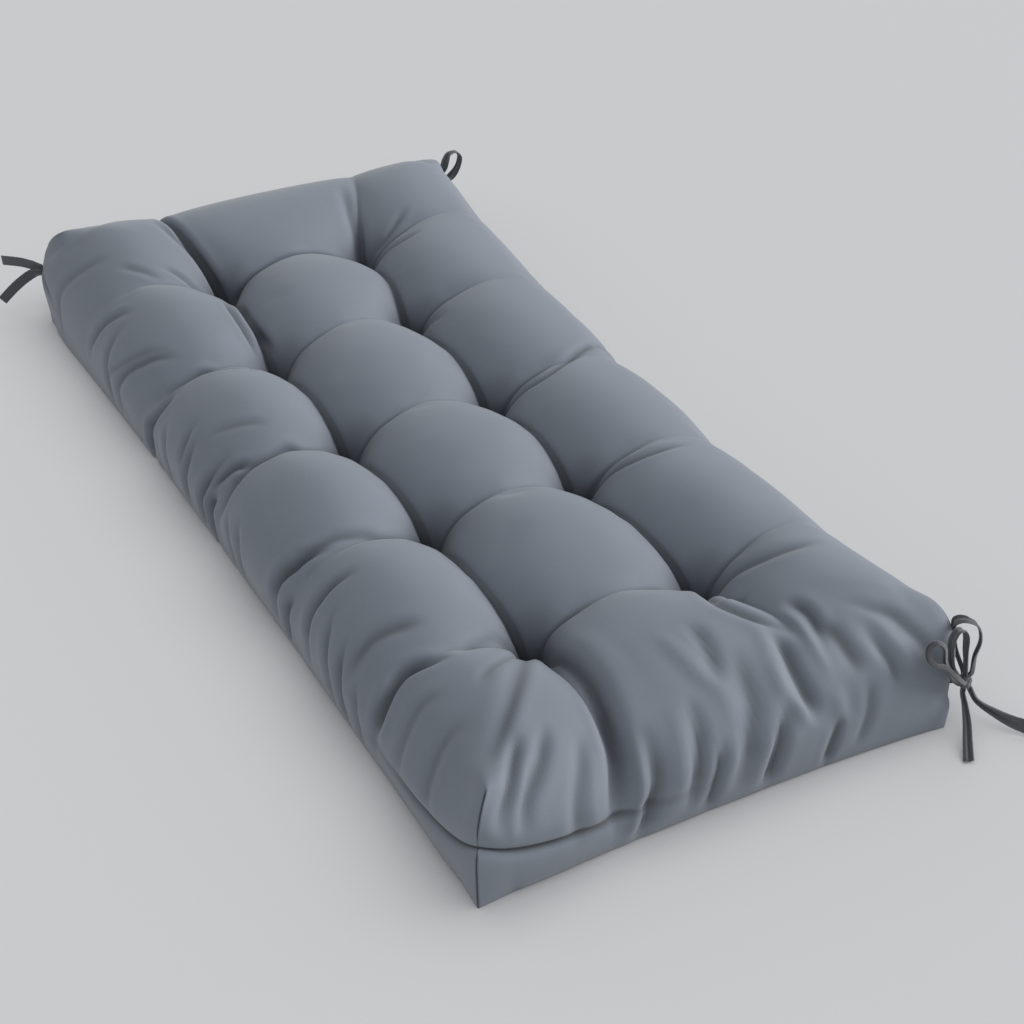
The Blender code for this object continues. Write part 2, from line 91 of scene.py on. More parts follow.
# How far each side is drawn in at its base and its top, most at its peak from -1 to 1 along it.
SIDES = (
    dict(name="left", axis=1, sign=-1, base=0.001, top=-0.006, peak=-0.1),
    dict(name="right", axis=1, sign=1, base=0.008, top=-0.0165, peak=-0.45),
    dict(name="near", axis=0, sign=1, base=0.006, top=-0.002, peak=0.0),
    dict(name="far", axis=0, sign=-1, base=0.008, top=-0.003, peak=0.0),
)
# How far each corner's top and base are moved, how high its top is lifted, how high its seam is, how
# far round it the moves reach, and how far round it the seam shows.
CORNERS = dict(
    near_left=dict(x=1, y=-1, top=(0.009, -0.005), base=(-0.004, 0.001), lift=0.026, seam=0.076,
                   reach=0.16, shows=0.170),
    near_right=dict(x=1, y=1, top=(-0.005, 0.032), base=(0.012, -0.009), lift=0.016, seam=0.030,
                    reach=0.50, shows=0.060),
    far_left=dict(x=-1, y=-1, top=(-0.036, 0.000), base=(-0.003, -0.018), lift=0.014, seam=0.070,
                  reach=0.75, shows=0.080),
    far_right=dict(x=-1, y=1, top=(0.011, 0.064), base=(0.014, 0.030), lift=0.006, seam=0.068,
                   reach=0.55, shows=0.080),
)
# Rows down the sides: a level, which is 1 at the shoulder, 0 at the seam and -1 at the floor, how far
# the row stands out all round, how much further between the corners, and the share of a crease's
# depth that it is notched by.
SIDE_ROWS = (
    (1.00, 0.0000, 0.000, 1.0),
    (0.87, 0.0080, 0.010, 1.0),
    (0.68, 0.0150, 0.015, 0.9),
    (0.44, 0.0200, 0.017, 0.8),
    (0.18, 0.0225, 0.013, 0.6),
    (0.00, 0.0240, 0.006, 0.4),
    (-0.30, 0.0262, 0.007, 0.3),
    (-0.80, 0.0270, 0.003, 0.1),
    (-1.00, 0.0270, -0.005, 0.0),
)

# -------------------------------- the tape ties
TAPE_WIDTH = 0.014
GATHERED_WIDTH = 0.005          # the same tape where a knot gathers it
WIDEST_SHARE = 0.97             # of the tape's width, where it lies flat
EDGE_WAVE = 0.015               # how uneven its edges are, as a share of its width
EDGE_WAVE_RATE = 900            # in radians along each metre
TAPE_THICKNESS = 0.0007
TAPE_STEPS = 8                  # mesh steps between two points of a route
TAPE_STRIPS = 14                # mesh steps across the tape
TAPE_PLEATS = 3                 # folds across the tape where it is gathered
PLEATED_SHARE = 0.94            # of the tape's width, which its pleats take up
DEEPEST_PLEAT = 0.004
PLEAT_PHASE = 0.2               # where across the tape its pleats start, in pleats
PLEAT_PHASE_STEP = 0.35         # how much later they start in each next tape of the bow
SEAM_GAP = 0.0008               # from a corner's seam to where its ties are measured from
STRAND_SPACING = 0.0021

# Every route is a table of rows: right, up and out from where the tie starts, in millimetres, then
# the tape's twist in degrees and its width in millimetres.  Right and out are level: out is square
# to the plane that the tie mostly lies in.  across is the direction of the tape's width before its
# twist, and beside is how far a strand starts from the seam, in strand spacings.
LEFT_TIE_HEIGHT = 0.064
LEFT_STRANDS = (
    dict(name="tie_left_upper", beside=-0.5, route=(
        (0, 3, -4, 0, 10),
        (0, 5, 13, 0, 14),
        (0, 7, 28, 0, 14),
        (0, 6.6, 56, 0, 14))),
    dict(name="tie_left_lower", beside=0.5, route=(
        (0.3, -3, -4, 0, 9),
        (1, -3.4, 6, 0, 12),
        (6, -9, 17, 0, 14),
        (16, -20, 31, 5, 14),
        (30, -35.5, 46, 5, 14))),
)
FAR_LOOP_HEIGHT = 0.066         # of the far loop's root on its corner seam
FAR_LOOP_HEADING = 90.0         # degrees from +X to the loop's right
FAR_LOOP_ROUTE = (
    (-4, 5.8, 0, 90, 9),
    (12, 8, 0, 70, 10),
    (19, 22, 0, 30, 12),
    (24, 30, 0, 5, 12),
    (35, 30, 0, 0, 11),
    (40.5, 21, 0, 0, 11),
    (34, 4, 0, -10, 11),
    (20, -7, 0, -60, 10),
    (-4, -5.8, 0, -90, 9),
)

# The bow at the near right corner.  Its rows are measured from the knot's middle, and the ends at
# the knot are given by the directions in which the tape leaves it and comes back to it.
BOW_HEADING = 62.0
KNOT_HEIGHT = 0.047
KNOT_STANDOFF = 0.0115          # from the corner seam to the knot's middle
KNOT_RADII = (0.0075, 0.0085, 0.0065)
KNOT_BITE = 0.001               # how far inside the knot a tape starts
KNOT_LEAD = 0.004               # and its straight run out of it
BOW_TAPES = (
    dict(name="tie_bow_large_loop", across=(0.05, 0.28, 0.95), leaves=(0.45, 0.85, 0.00),
         returns=(-0.10, 0.60, -0.80), route=(
        (7, 28, -2, 0, 9),
        (11, 45, -4, 0, 12),
        (10, 56, -7, 0, 12),
        (5.5, 61.5, -11, 0, 12),
        (-3, 62, -16, 0, 12),
        (-9.5, 55, -23, 0, 12),
        (-10, 43, -27.5, 0, 11),
        (-7.5, 23, -21.5, 0, 8))),
    dict(name="tie_bow_inner_loop", across=(0.30, 0.30, 0.90), leaves=(-0.60, 0.70, 0.35),
         returns=(-0.10, 1.00, 0.10), route=(
        (-14.5, 23.6, 8, 0, 8),
        (-19.4, 41.7, 11, 0, 11),
        (-20, 59, 11.5, 0, 12),
        (-15.5, 69, 9.5, 0, 12),
        (-10, 68, 6.5, 0, 12),
        (-5.5, 58, 4, 0, 12),
        (-4, 38, 2.5, 0, 10))),
    dict(name="tie_bow_small_loop", across=(0.30, 0.50, 0.80), leaves=(-0.30, 0.45, 0.85),
         returns=(-0.65, 0.25, 0.70), route=(
        (-15, 23, 20, 0, 5),
        (-28, 40, 26, 0, 5),
        (-37, 44, 29, 0, 5),
        (-44.5, 54, 29, 0, 5),
        (-44, 66, 28, 0, 5),
        (-37, 70, 27, 0, 5),
        (-30, 62, 25, 0, 5),
        (-26, 40, 19, 0, 5),
        (-17, 16, 13, 0, 5))),
    dict(name="tie_bow_down_tail", across=(1.00, 0.00, 0.35), leaves=(-0.12, -0.95, 0.30), route=(
        (0, -20, 11, 8, 6),
        (0, -29, 27, 5, 8),
        (-2, -37, 45, 0, 9),
        (-4, -44.5, 64, 0, 10))),
    dict(name="tie_bow_side_tail", across=(0.30, 0.90, -0.30), leaves=(0.48, -0.85, -0.20), route=(
        (13, -21.5, 5, 0, 5),
        (31.3, -30, 15, 0, 9),
        (45, -34, 22, 0, 12),
        (58, -37, 27, 0, 14),
        (71, -38.5, 37, 0, 14))),
)
ROOT_ROUTE = ((0, 0, -3.6, 0, 10), (0, 0, 6.8, 0, 5))   # of the strap from the seam to the knot
KNOT_STEPS = (96, 64)           # mesh steps round the knot and from pole to pole
KNOT_TAPE = (0.007, 0.008)      # metres of tape to each radian of the knot, in the same two ways
KNOT_CORE = 0.90                # the folds' reach from the knot's middle, as a share of its radii
# The turn of tape round them: how far it stands over them, half its width, the way across it, and its
# creases, in radians across it, with their slant and depth.
BELT = dict(rise=0.10, width=0.42, axis=(0.75, 0.60, 0.10), creases=26, slant=1.5, depth=0.022)
KNOT_FOLDS = dict(count=9, axis=(-0.6, 0.75, 0.1), depth=0.035)

# -------------------------------- the cloth's own detail
ALONG_STEPS = 54                # mesh steps in each pillow along the cushion, even numbers
ACROSS_STEPS = 48
CREASE_CROWDING = 0.55          # how much they gather towards the creases, from 0 to 1
# The mesh's rows down the sides, as places among SIDE_ROWS: close together at the seam.
SIDE_STATIONS = (0, 0.33, 0.67, 1, 1.33, 1.67, 2, 2.33, 2.67, 3, 3.33, 3.67, 4, 4.35, 4.7, 4.86,
                 4.93, 5, 5.07, 5.14, 5.3, 5.65, 6, 6.5, 7, 7.5, 8)

SHOULDER_ROUNDS = 70            # of evening out the cover at its shoulders
SOFT_PLACE = 0.006              # how far past a shoulder the cover is evened out most
SOFT_REACH = 0.034              # how far from there that fades
SOFT_LOW = 0.030                # how far past a shoulder the sides are too, where no seam shows
SOFT_FLOOR = 0.004              # and how high above the floor that starts
SHARP_TOP = 0.93                # how much of a corner's shape is kept from it at the shoulder,
SHARP_TOP_REACH = 0.012         # how far past the shoulder all of it is,
SHARP_REACH = (0.008, 0.030)    # and how far from the corner, and over how far that fades

# A crease's sharp fold: its depth, how wide its banks before and past the crease are, how far from a
# tuft it is deepest, how far that reaches, and how much of it is left everywhere else.
CROSS_PINCH = dict(depth=0.0065, before=0.0090, past=0.0035, place=0.040, reach=0.032, left=0.30)
ROW_PINCH = dict(depth=0.0070, before=0.0045, past=0.0150, place=0, reach=0.060, left=0.40)
PINCH_POWER = 1.5               # how fast the fold fades where its crease is shallower
CREASE_LINE = 0.0026            # how wide a crease's line of painted shade is
CORNER_WITHOUT_FOLDS = 0.035    # how far from a corner the folds of the hidden sides stay away

SEAM_DEPTH = 0.0022
SEAM_WIDTH = 0.0017
SEAM_TUCK = 0.0024              # how far the cloth is drawn in round a seam,
SEAM_TUCK_ABOVE = 0.018         # and how far above it and below it
SEAM_TUCK_BELOW = 0.007
UPRIGHT_SEAM_DEPTH = 0.0022
UPRIGHT_SEAM_START = 0.6        # of the side's first row, where an upright seam is full
TIP_RISE = dict(depth=0.0020, radius=0.016)     # how far the far left corner's tip stands out,
TIP_DRAW = dict(depth=0.0030, place=0.024, width=0.013)     # how the sides are drawn in below it,
FOOT_DRAW = dict(depth=0.009, height=0.070, radius=0.040)   # and how its foot is drawn in
FLOOR_FADE = 0.010              # how high above the floor the relief is full
FLOOR_RELIEF = 0.5              # the share of its level movement that is left on the floor

# The cloth's weight and stiffness, how much larger the cover is cut than its filling (the shrinkage
# below 0), and how hard the filling presses out.
CLOTH_SETTINGS = dict(quality=6, mass=0.15, tension_stiffness=12, compression_stiffness=12,
                      shear_stiffness=4, bending_stiffness=0.3, pin_stiffness=1.0,
                      shrink_min=-0.012, use_pressure=True, uniform_pressure_force=4.0)
FILLING_HOLD = 0.05             # how firmly the filling keeps the cloth in its place
CREASE_HOLD = 0.003             # a crease's fold this deep holds the cloth whole
TUFT_HOLD = (0.006, 0.012)      # how far from a tuft it is held whole, and over how far that fades
FLOOR_HOLD = (0.004, 0.012)     # and the same above the floor
CORNER_HOLD = (0.010, 0.030)    # and round a corner
SETTLING_FRAMES = 20
SETTLING_ROUNDS = 3             # of evening out how the cloth moves
SETTLING_LIMIT = 0.003          # how far the cloth may move as it settles

# Folds in the cover, each as depth, width and lean, then places from its root to its end, all in
# millimetres but for the lean.  Depth is how far the cloth goes in, or stands out where it is below
# 0, at a middle width.  A lean above 0 makes the fold's left bank, seen from its root, wider than its
# right one.
TUFT_FOLDS = (                  # they start full at a tuft and run out
    (10.5, 8, 0.3, (408, -88), (455, -83), (490, -82), (520, -84), (555, -89), (590, -93),
     (620, -94), (650, -90)),
    (4, 7.5, -0.3, (410, -98), (450, -118), (500, -156), (535, -190), (562, -222)),
    (2.5, 6, 0, (402, -100), (385, -115), (393, -140), (405, -170)),
    (3, 5.5, 0, (410, -100), (440, -135), (455, -160), (475, -182)),
    (5.5, 6, 0, (420, 80), (463, 64), (500, 66), (527, 78), (548, 91)),
    (3.5, 4.5, 0, (415, 85), (448, 68), (458, 82), (466, 106)),
    (4, 7.5, 0, (405, 92), (412, 112), (432, 138), (444, 170), (448, 200)),
    (6, 4.2, 0, (-397, -91), (-450, -91), (-510, -91), (-570, -91), (-610, -91)),
    (4, 3.8, 0, (-397, -80), (-397, -40), (-397, 10), (-397, 50), (-397, 90)),
    (3, 6, 0, (-397, -80), (-425, -90), (-455, -94), (-490, -101), (-545, -114)),
    (3, 4, 0, (-385, -100), (-400, -120), (-419, -138), (-430, -156)),
    (4.5, 5, 0, (-200, -98), (-178, -130), (-185, -162), (-197, -182), (-199, -210), (-206, -245)),
    (4, 5.5, 0, (-2, -98), (6, -138), (-3, -160), (0, -185), (0, -207), (6, -230), (12, -253),
     (0, -285)),
    (3, 6, 0, (198, -100), (200, -140), (190, -165), (181, -195), (177, -229), (166, -245),
     (160, -275)),
    (3, 5, 0, (-400, 90), (-408, 105), (-407, 120), (-418, 138), (-437, 152)),
    (3, 5, 0, (-392, 92), (-380, 112), (-368, 132), (-362, 156)),
    (3.5, 6, 0, (-400, 85), (-436, 88), (-473, 81), (-530, 75)),
    (2.5, 5.5, 0, (-200, 93), (-185, 108), (-162, 118)),
    (4.5, 5.5, 0, (0, 93), (12, 117), (18, 149), (-8, 193), (-28, 228), (-40, 258)),
    (4.5, 5.5, 0, (198, 93), (207, 117), (219, 142), (224, 165), (226, 200)),
)
DRAPE_FOLDS = (                 # they fade in and out
    # Down the near end, from its left corner to its right one.
    (4.5, 5.5, 0, (535, -170), (571, -197), (590, -205), (615, -208)),
    (-1.2, 5, 0, (560, -176), (580, -190), (605, -195), (630, -193)),
    (4, 6.5, 0, (535, -140), (569, -166), (590, -184), (620, -182)),
    (3, 7.5, 0, (550, -110), (575, -124), (600, -131), (650, -129)),
    (-1.2, 5.5, 0, (570, -112), (600, -115), (640, -112)),
    (5, 7, 0.3, (560, -66), (584, -64), (610, -62), (645, -66), (685, -70)),
    (-2.1, 5.5, 0, (570, -77), (600, -73), (635, -75), (670, -78)),
    (4.5, 5.5, 0, (560, -18), (590, -24), (620, -27), (665, -27)),
    (-1.5, 5, 0, (560, -36), (600, -40), (650, -40)),
    (4.5, 4.5, 0, (590, -6), (625, -10), (660, -11), (690, -11)),
    (-1.5, 4.5, 0, (590, 3), (620, 1), (655, -1)),
    (4, 8.5, 0, (530, 36), (562, 30), (582, 26), (610, 16), (670, 15)),
    (-1.8, 5.5, 0, (490, 62), (535, 61), (562, 54), (582, 49), (604, 38), (635, 30), (685, 32)),
    (7.5, 7, 0.3, (530, 73), (560, 72), (588, 69), (625, 74)),
    (6, 6, 0, (585, 52), (610, 43), (645, 41), (685, 40)),
    (-2.7, 5, 0, (555, 62), (583, 53), (602, 60), (632, 72)),
    (4.5, 6, 0, (500, 108), (530, 113), (552, 110), (575, 104)),
    (-2.1, 5, 0, (500, 94), (535, 98), (562, 96), (600, 92)),
    (4, 8.5, 0, (545, 117), (572, 120), (600, 118)),
    (2.5, 6, 0, (530, 138), (556, 162), (576, 182), (605, 194), (640, 205)),
    (-1.5, 6, 0, (555, 145), (580, 165), (615, 172), (650, 175)),
    (3.5, 6, 0, (570, 146), (592, 151), (625, 156)),
    (2.5, 6, 0, (595, 125), (630, 124), (670, 126)),
    (-1.5, 5, 0, (590, 93), (618, 95), (650, 97)),
    (4, 4.5, 0, (620, 92), (650, 95), (685, 96)),
    (3.6, 6, 0, (485, 20), (515, 18), (540, 14), (572, 8)),
    (-2.4, 6, 0, (480, -10), (520, -7), (550, -4), (575, 4), (605, 3)),
    # Down the left side, from the far corner to the near one.
    (2, 5, 0, (-400, -155), (-424, -178), (-450, -200)),
    (2, 6, 0, (-470, -190), (-480, -225), (-490, -270), (-495, -320)),
    (3.5, 5.5, 0, (-345, -212), (-368, -230), (-372, -255), (-385, -290)),
    (4, 5.5, 0, (-225, -192), (-245, -214), (-262, -236), (-275, -265), (-300, -320)),
    (2.5, 4.5, 0, (-245, -200), (-270, -226), (-290, -255), (-325, -300)),
    (3, 5.5, 0, (-345, -218), (-325, -245), (-320, -285), (-330, -330)),
    (12.5, 6, 0.3, (-195, -215), (-188, -240), (-198, -268), (-208, -295), (-203, -335)),
    (3.5, 4, 0, (-105, -222), (-92, -246), (-90, -272)),
    (3, 6, 0, (-150, -235), (-140, -270), (-145, -325)),
    (2, 5.5, 0, (-40, -160), (-60, -200), (-75, -232)),
    (5.5, 4.5, 0, (-3, -200), (-13, -226), (-18, -250)),
    (6, 5, 0, (-30, -212), (-28, -240), (-32, -268), (-50, -325)),
    (9.5, 5.2, 0, (-4, -236), (-14, -272), (-14, -330)),
    (4, 5.5, 0, (-85, -225), (-73, -255), (-85, -320)),
    (3, 6, 0, (60, -235), (70, -270), (62, -325)),
    (2.5, 5, 0, (30, -240), (40, -275), (34, -325)),
    (9, 5.5, 0, (190, -192), (180, -222), (166, -246), (156, -300)),
    (6, 5.5, 0, (248, -188), (240, -222), (235, -245), (243, -300)),
    (5, 4.5, 0, (200, -238), (190, -265), (176, -320)),
    (4, 5, 0, (266, -220), (282, -250), (296, -315)),
    (5, 5.5, 0, (310, -225), (316, -265), (322, -325)),
    (3.5, 8, 0, (357, -172), (342, -215), (328, -255)),
    (3, 5.5, 0, (345, -240), (352, -275), (350, -325)),
    (9.5, 6, 0, (412, -172), (397, -210), (394, -240), (384, -290)),
    (2, 7, 0, (455, -195), (440, -240), (438, -290)),
    (2, 7, 0, (500, -200), (495, -245), (500, -285)),
    # The narrow roll between two creases, along the left row past its far tuft.
    (6, 4, 0, (-360, -104), (-300, -110), (-240, -104), (-205, -98)),
    (4.5, 4, 0, (-365, -86), (-300, -94), (-240, -86), (-205, -90)),
    # A dimple on the right side.
    (3, 6, 0, (-35, 222), (-10, 236), (10, 240)),
)
FOLD_BANKS = 0.16               # how high a fold's banks stand, as a share of its depth
BANK_PLACE = 2.1                # how far out they are, and how wide, in the fold's own widths
BANK_WIDTH = 1.1
FOLD_REACH = 4.5                # how far out a fold is felt, in its widths
FOLD_FADE = 0.35                # how much of its length it fades over at an end
FULL_FOLD = 0.0050              # a fold this deep gets the darkest painted shade
FOLD_LINE = 0.80                # how wide its line of painted shade is, in its widths


def blend(start, end, share):
    return start + (end - start) * share


def smooth_step(value):
    value = np.clip(value, 0, 1)
    return value * value * (3 - 2 * value)


def ramp(value, start, width):
    """0 up to a start and 1 from a width past it."""
    return smooth_step((value - start) / width)


def bump(distance, width):
    return np.exp(-(distance / width) ** 2)


# -------------------------------- the cushion's surface

def crease_profile(share, roundness):
    """0 on a pillow's crest and 1 in the crease, along a flattened arc."""
    arc = 1 - np.sqrt(1 - (roundness * share) ** 2)
    return arc / (1 - math.sqrt(1 - roundness ** 2))


def nearest_crease(place, creases):
    """The nearest crease, how far past it place is, and how near as a share of half a pillow."""
    offsets = place[..., None] - np.array(creases)
    nearest = np.abs(offsets).argmin(-1)
    past = np.take_along_axis(offsets, nearest[..., None], -1)[..., 0]
    half_pillow = abs(creases[1] - creases[0]) / 2
    return nearest, past, np.clip(1 - np.abs(past) / half_pillow, 0, 1)


def crease_depth(place, creases, start_depth, saddle_depth, end_depth, shoulder, tuft_depth):
    """Depth along one crease, which is tuft_depth deep at each tuft it passes."""
    first = creases[0]
    last = creases[-1]
    away = np.abs((place - first) / (creases[1] - creases[0]) % 1 - 0.5) * 2
    between = blend(saddle_depth, tuft_depth, away ** 2)
    run = np.where(place < first, first - place, place - last)
    share = np.clip(run / (shoulder - abs(last)), 0, 1)
    end = np.where(place < first, start_depth, end_depth)
    past = blend(end, tuft_depth, (1 - share) ** 1.5)
    return np.where((place >= first) & (place <= last), between, past)


def table_values(table, names, index):
    """The named columns of a table, each at the rows of an index."""
    return [np.array([row[name] for row in table])[index] for name in names]


def crease_parts(x, y):
    """Depth, distance past and nearness of the cross crease and of the row crease at a place."""
    column, column_past, column_share = nearest_crease(x, COLUMN_X)
    row, row_past, row_share = nearest_crease(y, ROW_Y)
    cross_ends = table_values(CROSS_CREASES, ("left", "saddle", "right"), column)
    row_ends = table_values(ROW_CREASES, ("far", "saddle", "near"), row)
    cross_depth = crease_depth(y, ROW_Y, *cross_ends, SHOULDER_Y, CROSS_TUFT_DEPTH)
    row_depth = crease_depth(x, COLUMN_X, *row_ends, SHOULDER_X, ROW_TUFT_DEPTH)
    return (cross_depth, column_past, column_share), (row_depth, row_past, row_share)


def tuft_away(x, y):
    """How far a place is from the nearest tuft."""
    return np.hypot(nearest_crease(x, COLUMN_X)[1], nearest_crease(y, ROW_Y)[1])


def crease_drop(x, y):
    """How far the creases and tufts pull the top down at a place on the panel."""
    (cross_depth, _, column_share), (row_depth, _, row_share) = crease_parts(x, y)
    pit = TUFT_PIT * np.clip(1 - tuft_away(x, y) / TUFT_PIT_RADIUS, 0, 1) ** 2
    return (cross_depth * crease_profile(column_share, CROSS_ROUNDNESS)
            + row_depth * crease_profile(row_share, ROW_ROUNDNESS) + pit)


def shoulder_roll(x, y):
    """The fall of the top towards its shoulders."""
    fall = []
    for place, half in ((x, SHOULDER_X), (y, SHOULDER_Y)):
        share = np.clip(1 - (half - np.abs(place)) / SHOULDER_ROLL, 0, None)
        fall.append((CREST_HEIGHT - SHOULDER_HEIGHT) * share ** ROLL_POWER)
    return (fall[0] ** 4 + fall[1] ** 4) ** 0.25


def corner_away(x, y, corner):
    return np.hypot(x - corner["x"] * SHOULDER_X, y - corner["y"] * SHOULDER_Y)


def nearest_corner_away(x, y):
    return np.min([corner_away(x, y, corner) for corner in CORNERS.values()], axis=0)


def corner_weight(x, y, corner):
    return np.clip(1 - corner_away(x, y, corner) / corner["reach"], 0, 1) ** 2


def crease_drift(x, y):
    """How far the rows' creases lean off their line past the last tufts, along y."""
    share = np.clip((np.abs(x) - COLUMN_X[-1]) / (SHOULDER_X - COLUMN_X[-1]), 0, 1)
    drift = np.zeros_like(x)
    for crease, row_y in zip(ROW_CREASES, ROW_Y):
        lean = np.where(x < 0, crease["far_drift"], crease["near_drift"])
        drift += lean * share * bump(y - row_y, DRIFT_REACH)
    return drift


def settle(x, y, standing, height_share):
    """Move places on the plain rectangle to where the cushion lies."""
    shares = (x / SHOULDER_X, y / SHOULDER_Y)
    moved = [x + standing * shares[0], y + standing * shares[1] + crease_drift(x, y)]
    for side in SIDES:
        towards = np.clip(shares[side["axis"]] * side["sign"], 0, None)
        along = shares[1 - side["axis"]] - side["peak"]
        between = 1 - (along / np.where(along > 0, 1 - side["peak"], 1 + side["peak"])) ** 2
        draw = blend(side["base"], side["top"], height_share) * between * towards ** 2
        moved[side["axis"]] = moved[side["axis"]] - side["sign"] * draw
    for row_y, shifts in zip(ROW_Y, TUFT_SHIFTS):
        for column_x, shift in zip(COLUMN_X, shifts):
            pull = bump(np.hypot(x - column_x, y - row_y), TUFT_SHIFT_REACH)
            moved = [moved[axis] + shift[axis] * pull for axis in (0, 1)]
    for corner in CORNERS.values():
        weight = corner_weight(x, y, corner)
        for axis in (0, 1):
            move = blend(corner["base"][axis], corner["top"][axis], height_share)
            moved[axis] = moved[axis] + weight * move
    return moved


def top_points(x, y):
    height = CREST_HEIGHT - crease_drop(x, y) - shoulder_roll(x, y)
    for corner in CORNERS.values():
        height = height + corner["lift"] * corner_weight(x, y, corner) ** 2
    return np.stack([*settle(x, y, 0.0, 1.0), height], -1)


def corner_distance_share(x, y):
    """0 at a corner of the sides and near 1 away from it."""
    return 1 - np.exp(-nearest_corner_away(x, y) / CORNER_REACH)


def seam_height(x, y):
    height = MIDDLE_SEAM_HEIGHT
    for corner in CORNERS.values():
        rise = corner["seam"] - MIDDLE_SEAM_HEIGHT
        height = height + rise * np.exp(-corner_away(x, y, corner) / CORNER_REACH)
    return height


def between_rows(a, b, c, d, t):
    """The value t of the way from b to c, on a smooth curve through all four."""
    return 0.5 * (2 * b + (c - a) * t + (2 * a - 5 * b + 4 * c - d) * t ** 2
                  + (3 * b - a - 3 * c + d) * t ** 3)


def side_row(station):
    """The side table's row at a station between its own rows, on a smooth curve."""
    index = min(int(station), len(SIDE_ROWS) - 2)
    near = np.clip(np.arange(index - 1, index + 3), 0, len(SIDE_ROWS) - 1)
    return between_rows(*np.array(SIDE_ROWS)[near], station - index)


def side_points(x, y, station):
    """The points of one row round the sides, below the shoulder points at x, y."""
    level, corner, bulge, notch = side_row(station)
    shoulder = top_points(x, y)[..., 2]
    seam = seam_height(x, y)
    height = blend(seam, shoulder, level) if level >= 0 else seam * (1 + level)
    between = corner_distance_share(x, y)
    standing = corner + (bulge - notch * crease_drop(x, y)) * between
    moved_x, moved_y = settle(x, y, standing, np.clip(height / shoulder, 0, None))
    return np.stack([moved_x, moved_y, height + 0 * moved_x], -1)


def under_points(x, y):
    height = UNDER_PIT * np.clip(1 - tuft_away(x, y) / UNDER_PIT_RADIUS, 0, 1) ** 2
    edge_share = np.maximum(np.abs(x) / SHOULDER_X, np.abs(y) / SHOULDER_Y) ** 2
    _, corner, bulge, _ = SIDE_ROWS[-1]
    standing = (corner + bulge * corner_distance_share(x, y)) * edge_share
    return np.stack([*settle(x, y, standing, 0.0), height], -1)


# -------------------------------- the cushion's mesh

def panel_stations(creases, shoulder, steps):
    """Places of the mesh columns across a panel, gathered towards the creases."""
    stops = [-shoulder, *creases, shoulder]
    even = np.arange(1, steps + 1) / steps
    share = blend(even, (1 - np.cos(np.pi * even)) / 2, CREASE_CROWDING)
    places = [np.array([-shoulder])]
    places += [blend(start, end, share) for start, end in zip(stops, stops[1:])]
    return np.concatenate(places)


def panel_border(columns, rows):
    """Grid indices round the edge of a panel, once round, as two arrays."""
    last_column = columns - 1
    last_row = rows - 1
    border = [(column, 0) for column in range(last_column)]
    border += [(last_column, row) for row in range(last_row)]
    border += [(column, last_row) for column in range(last_column, 0, -1)]
    border += [(0, row) for row in range(last_row, 0, -1)]
    return np.array(border).T


def grid_quads(index):
    corners = [index[:-1, :-1], index[1:, :-1], index[1:, 1:], index[:-1, 1:]]
    return np.stack(corners, -1).reshape(-1, 4)


def ring_quads(above, below):
    return np.stack([above, below, np.roll(below, -1), np.roll(above, -1)], -1)


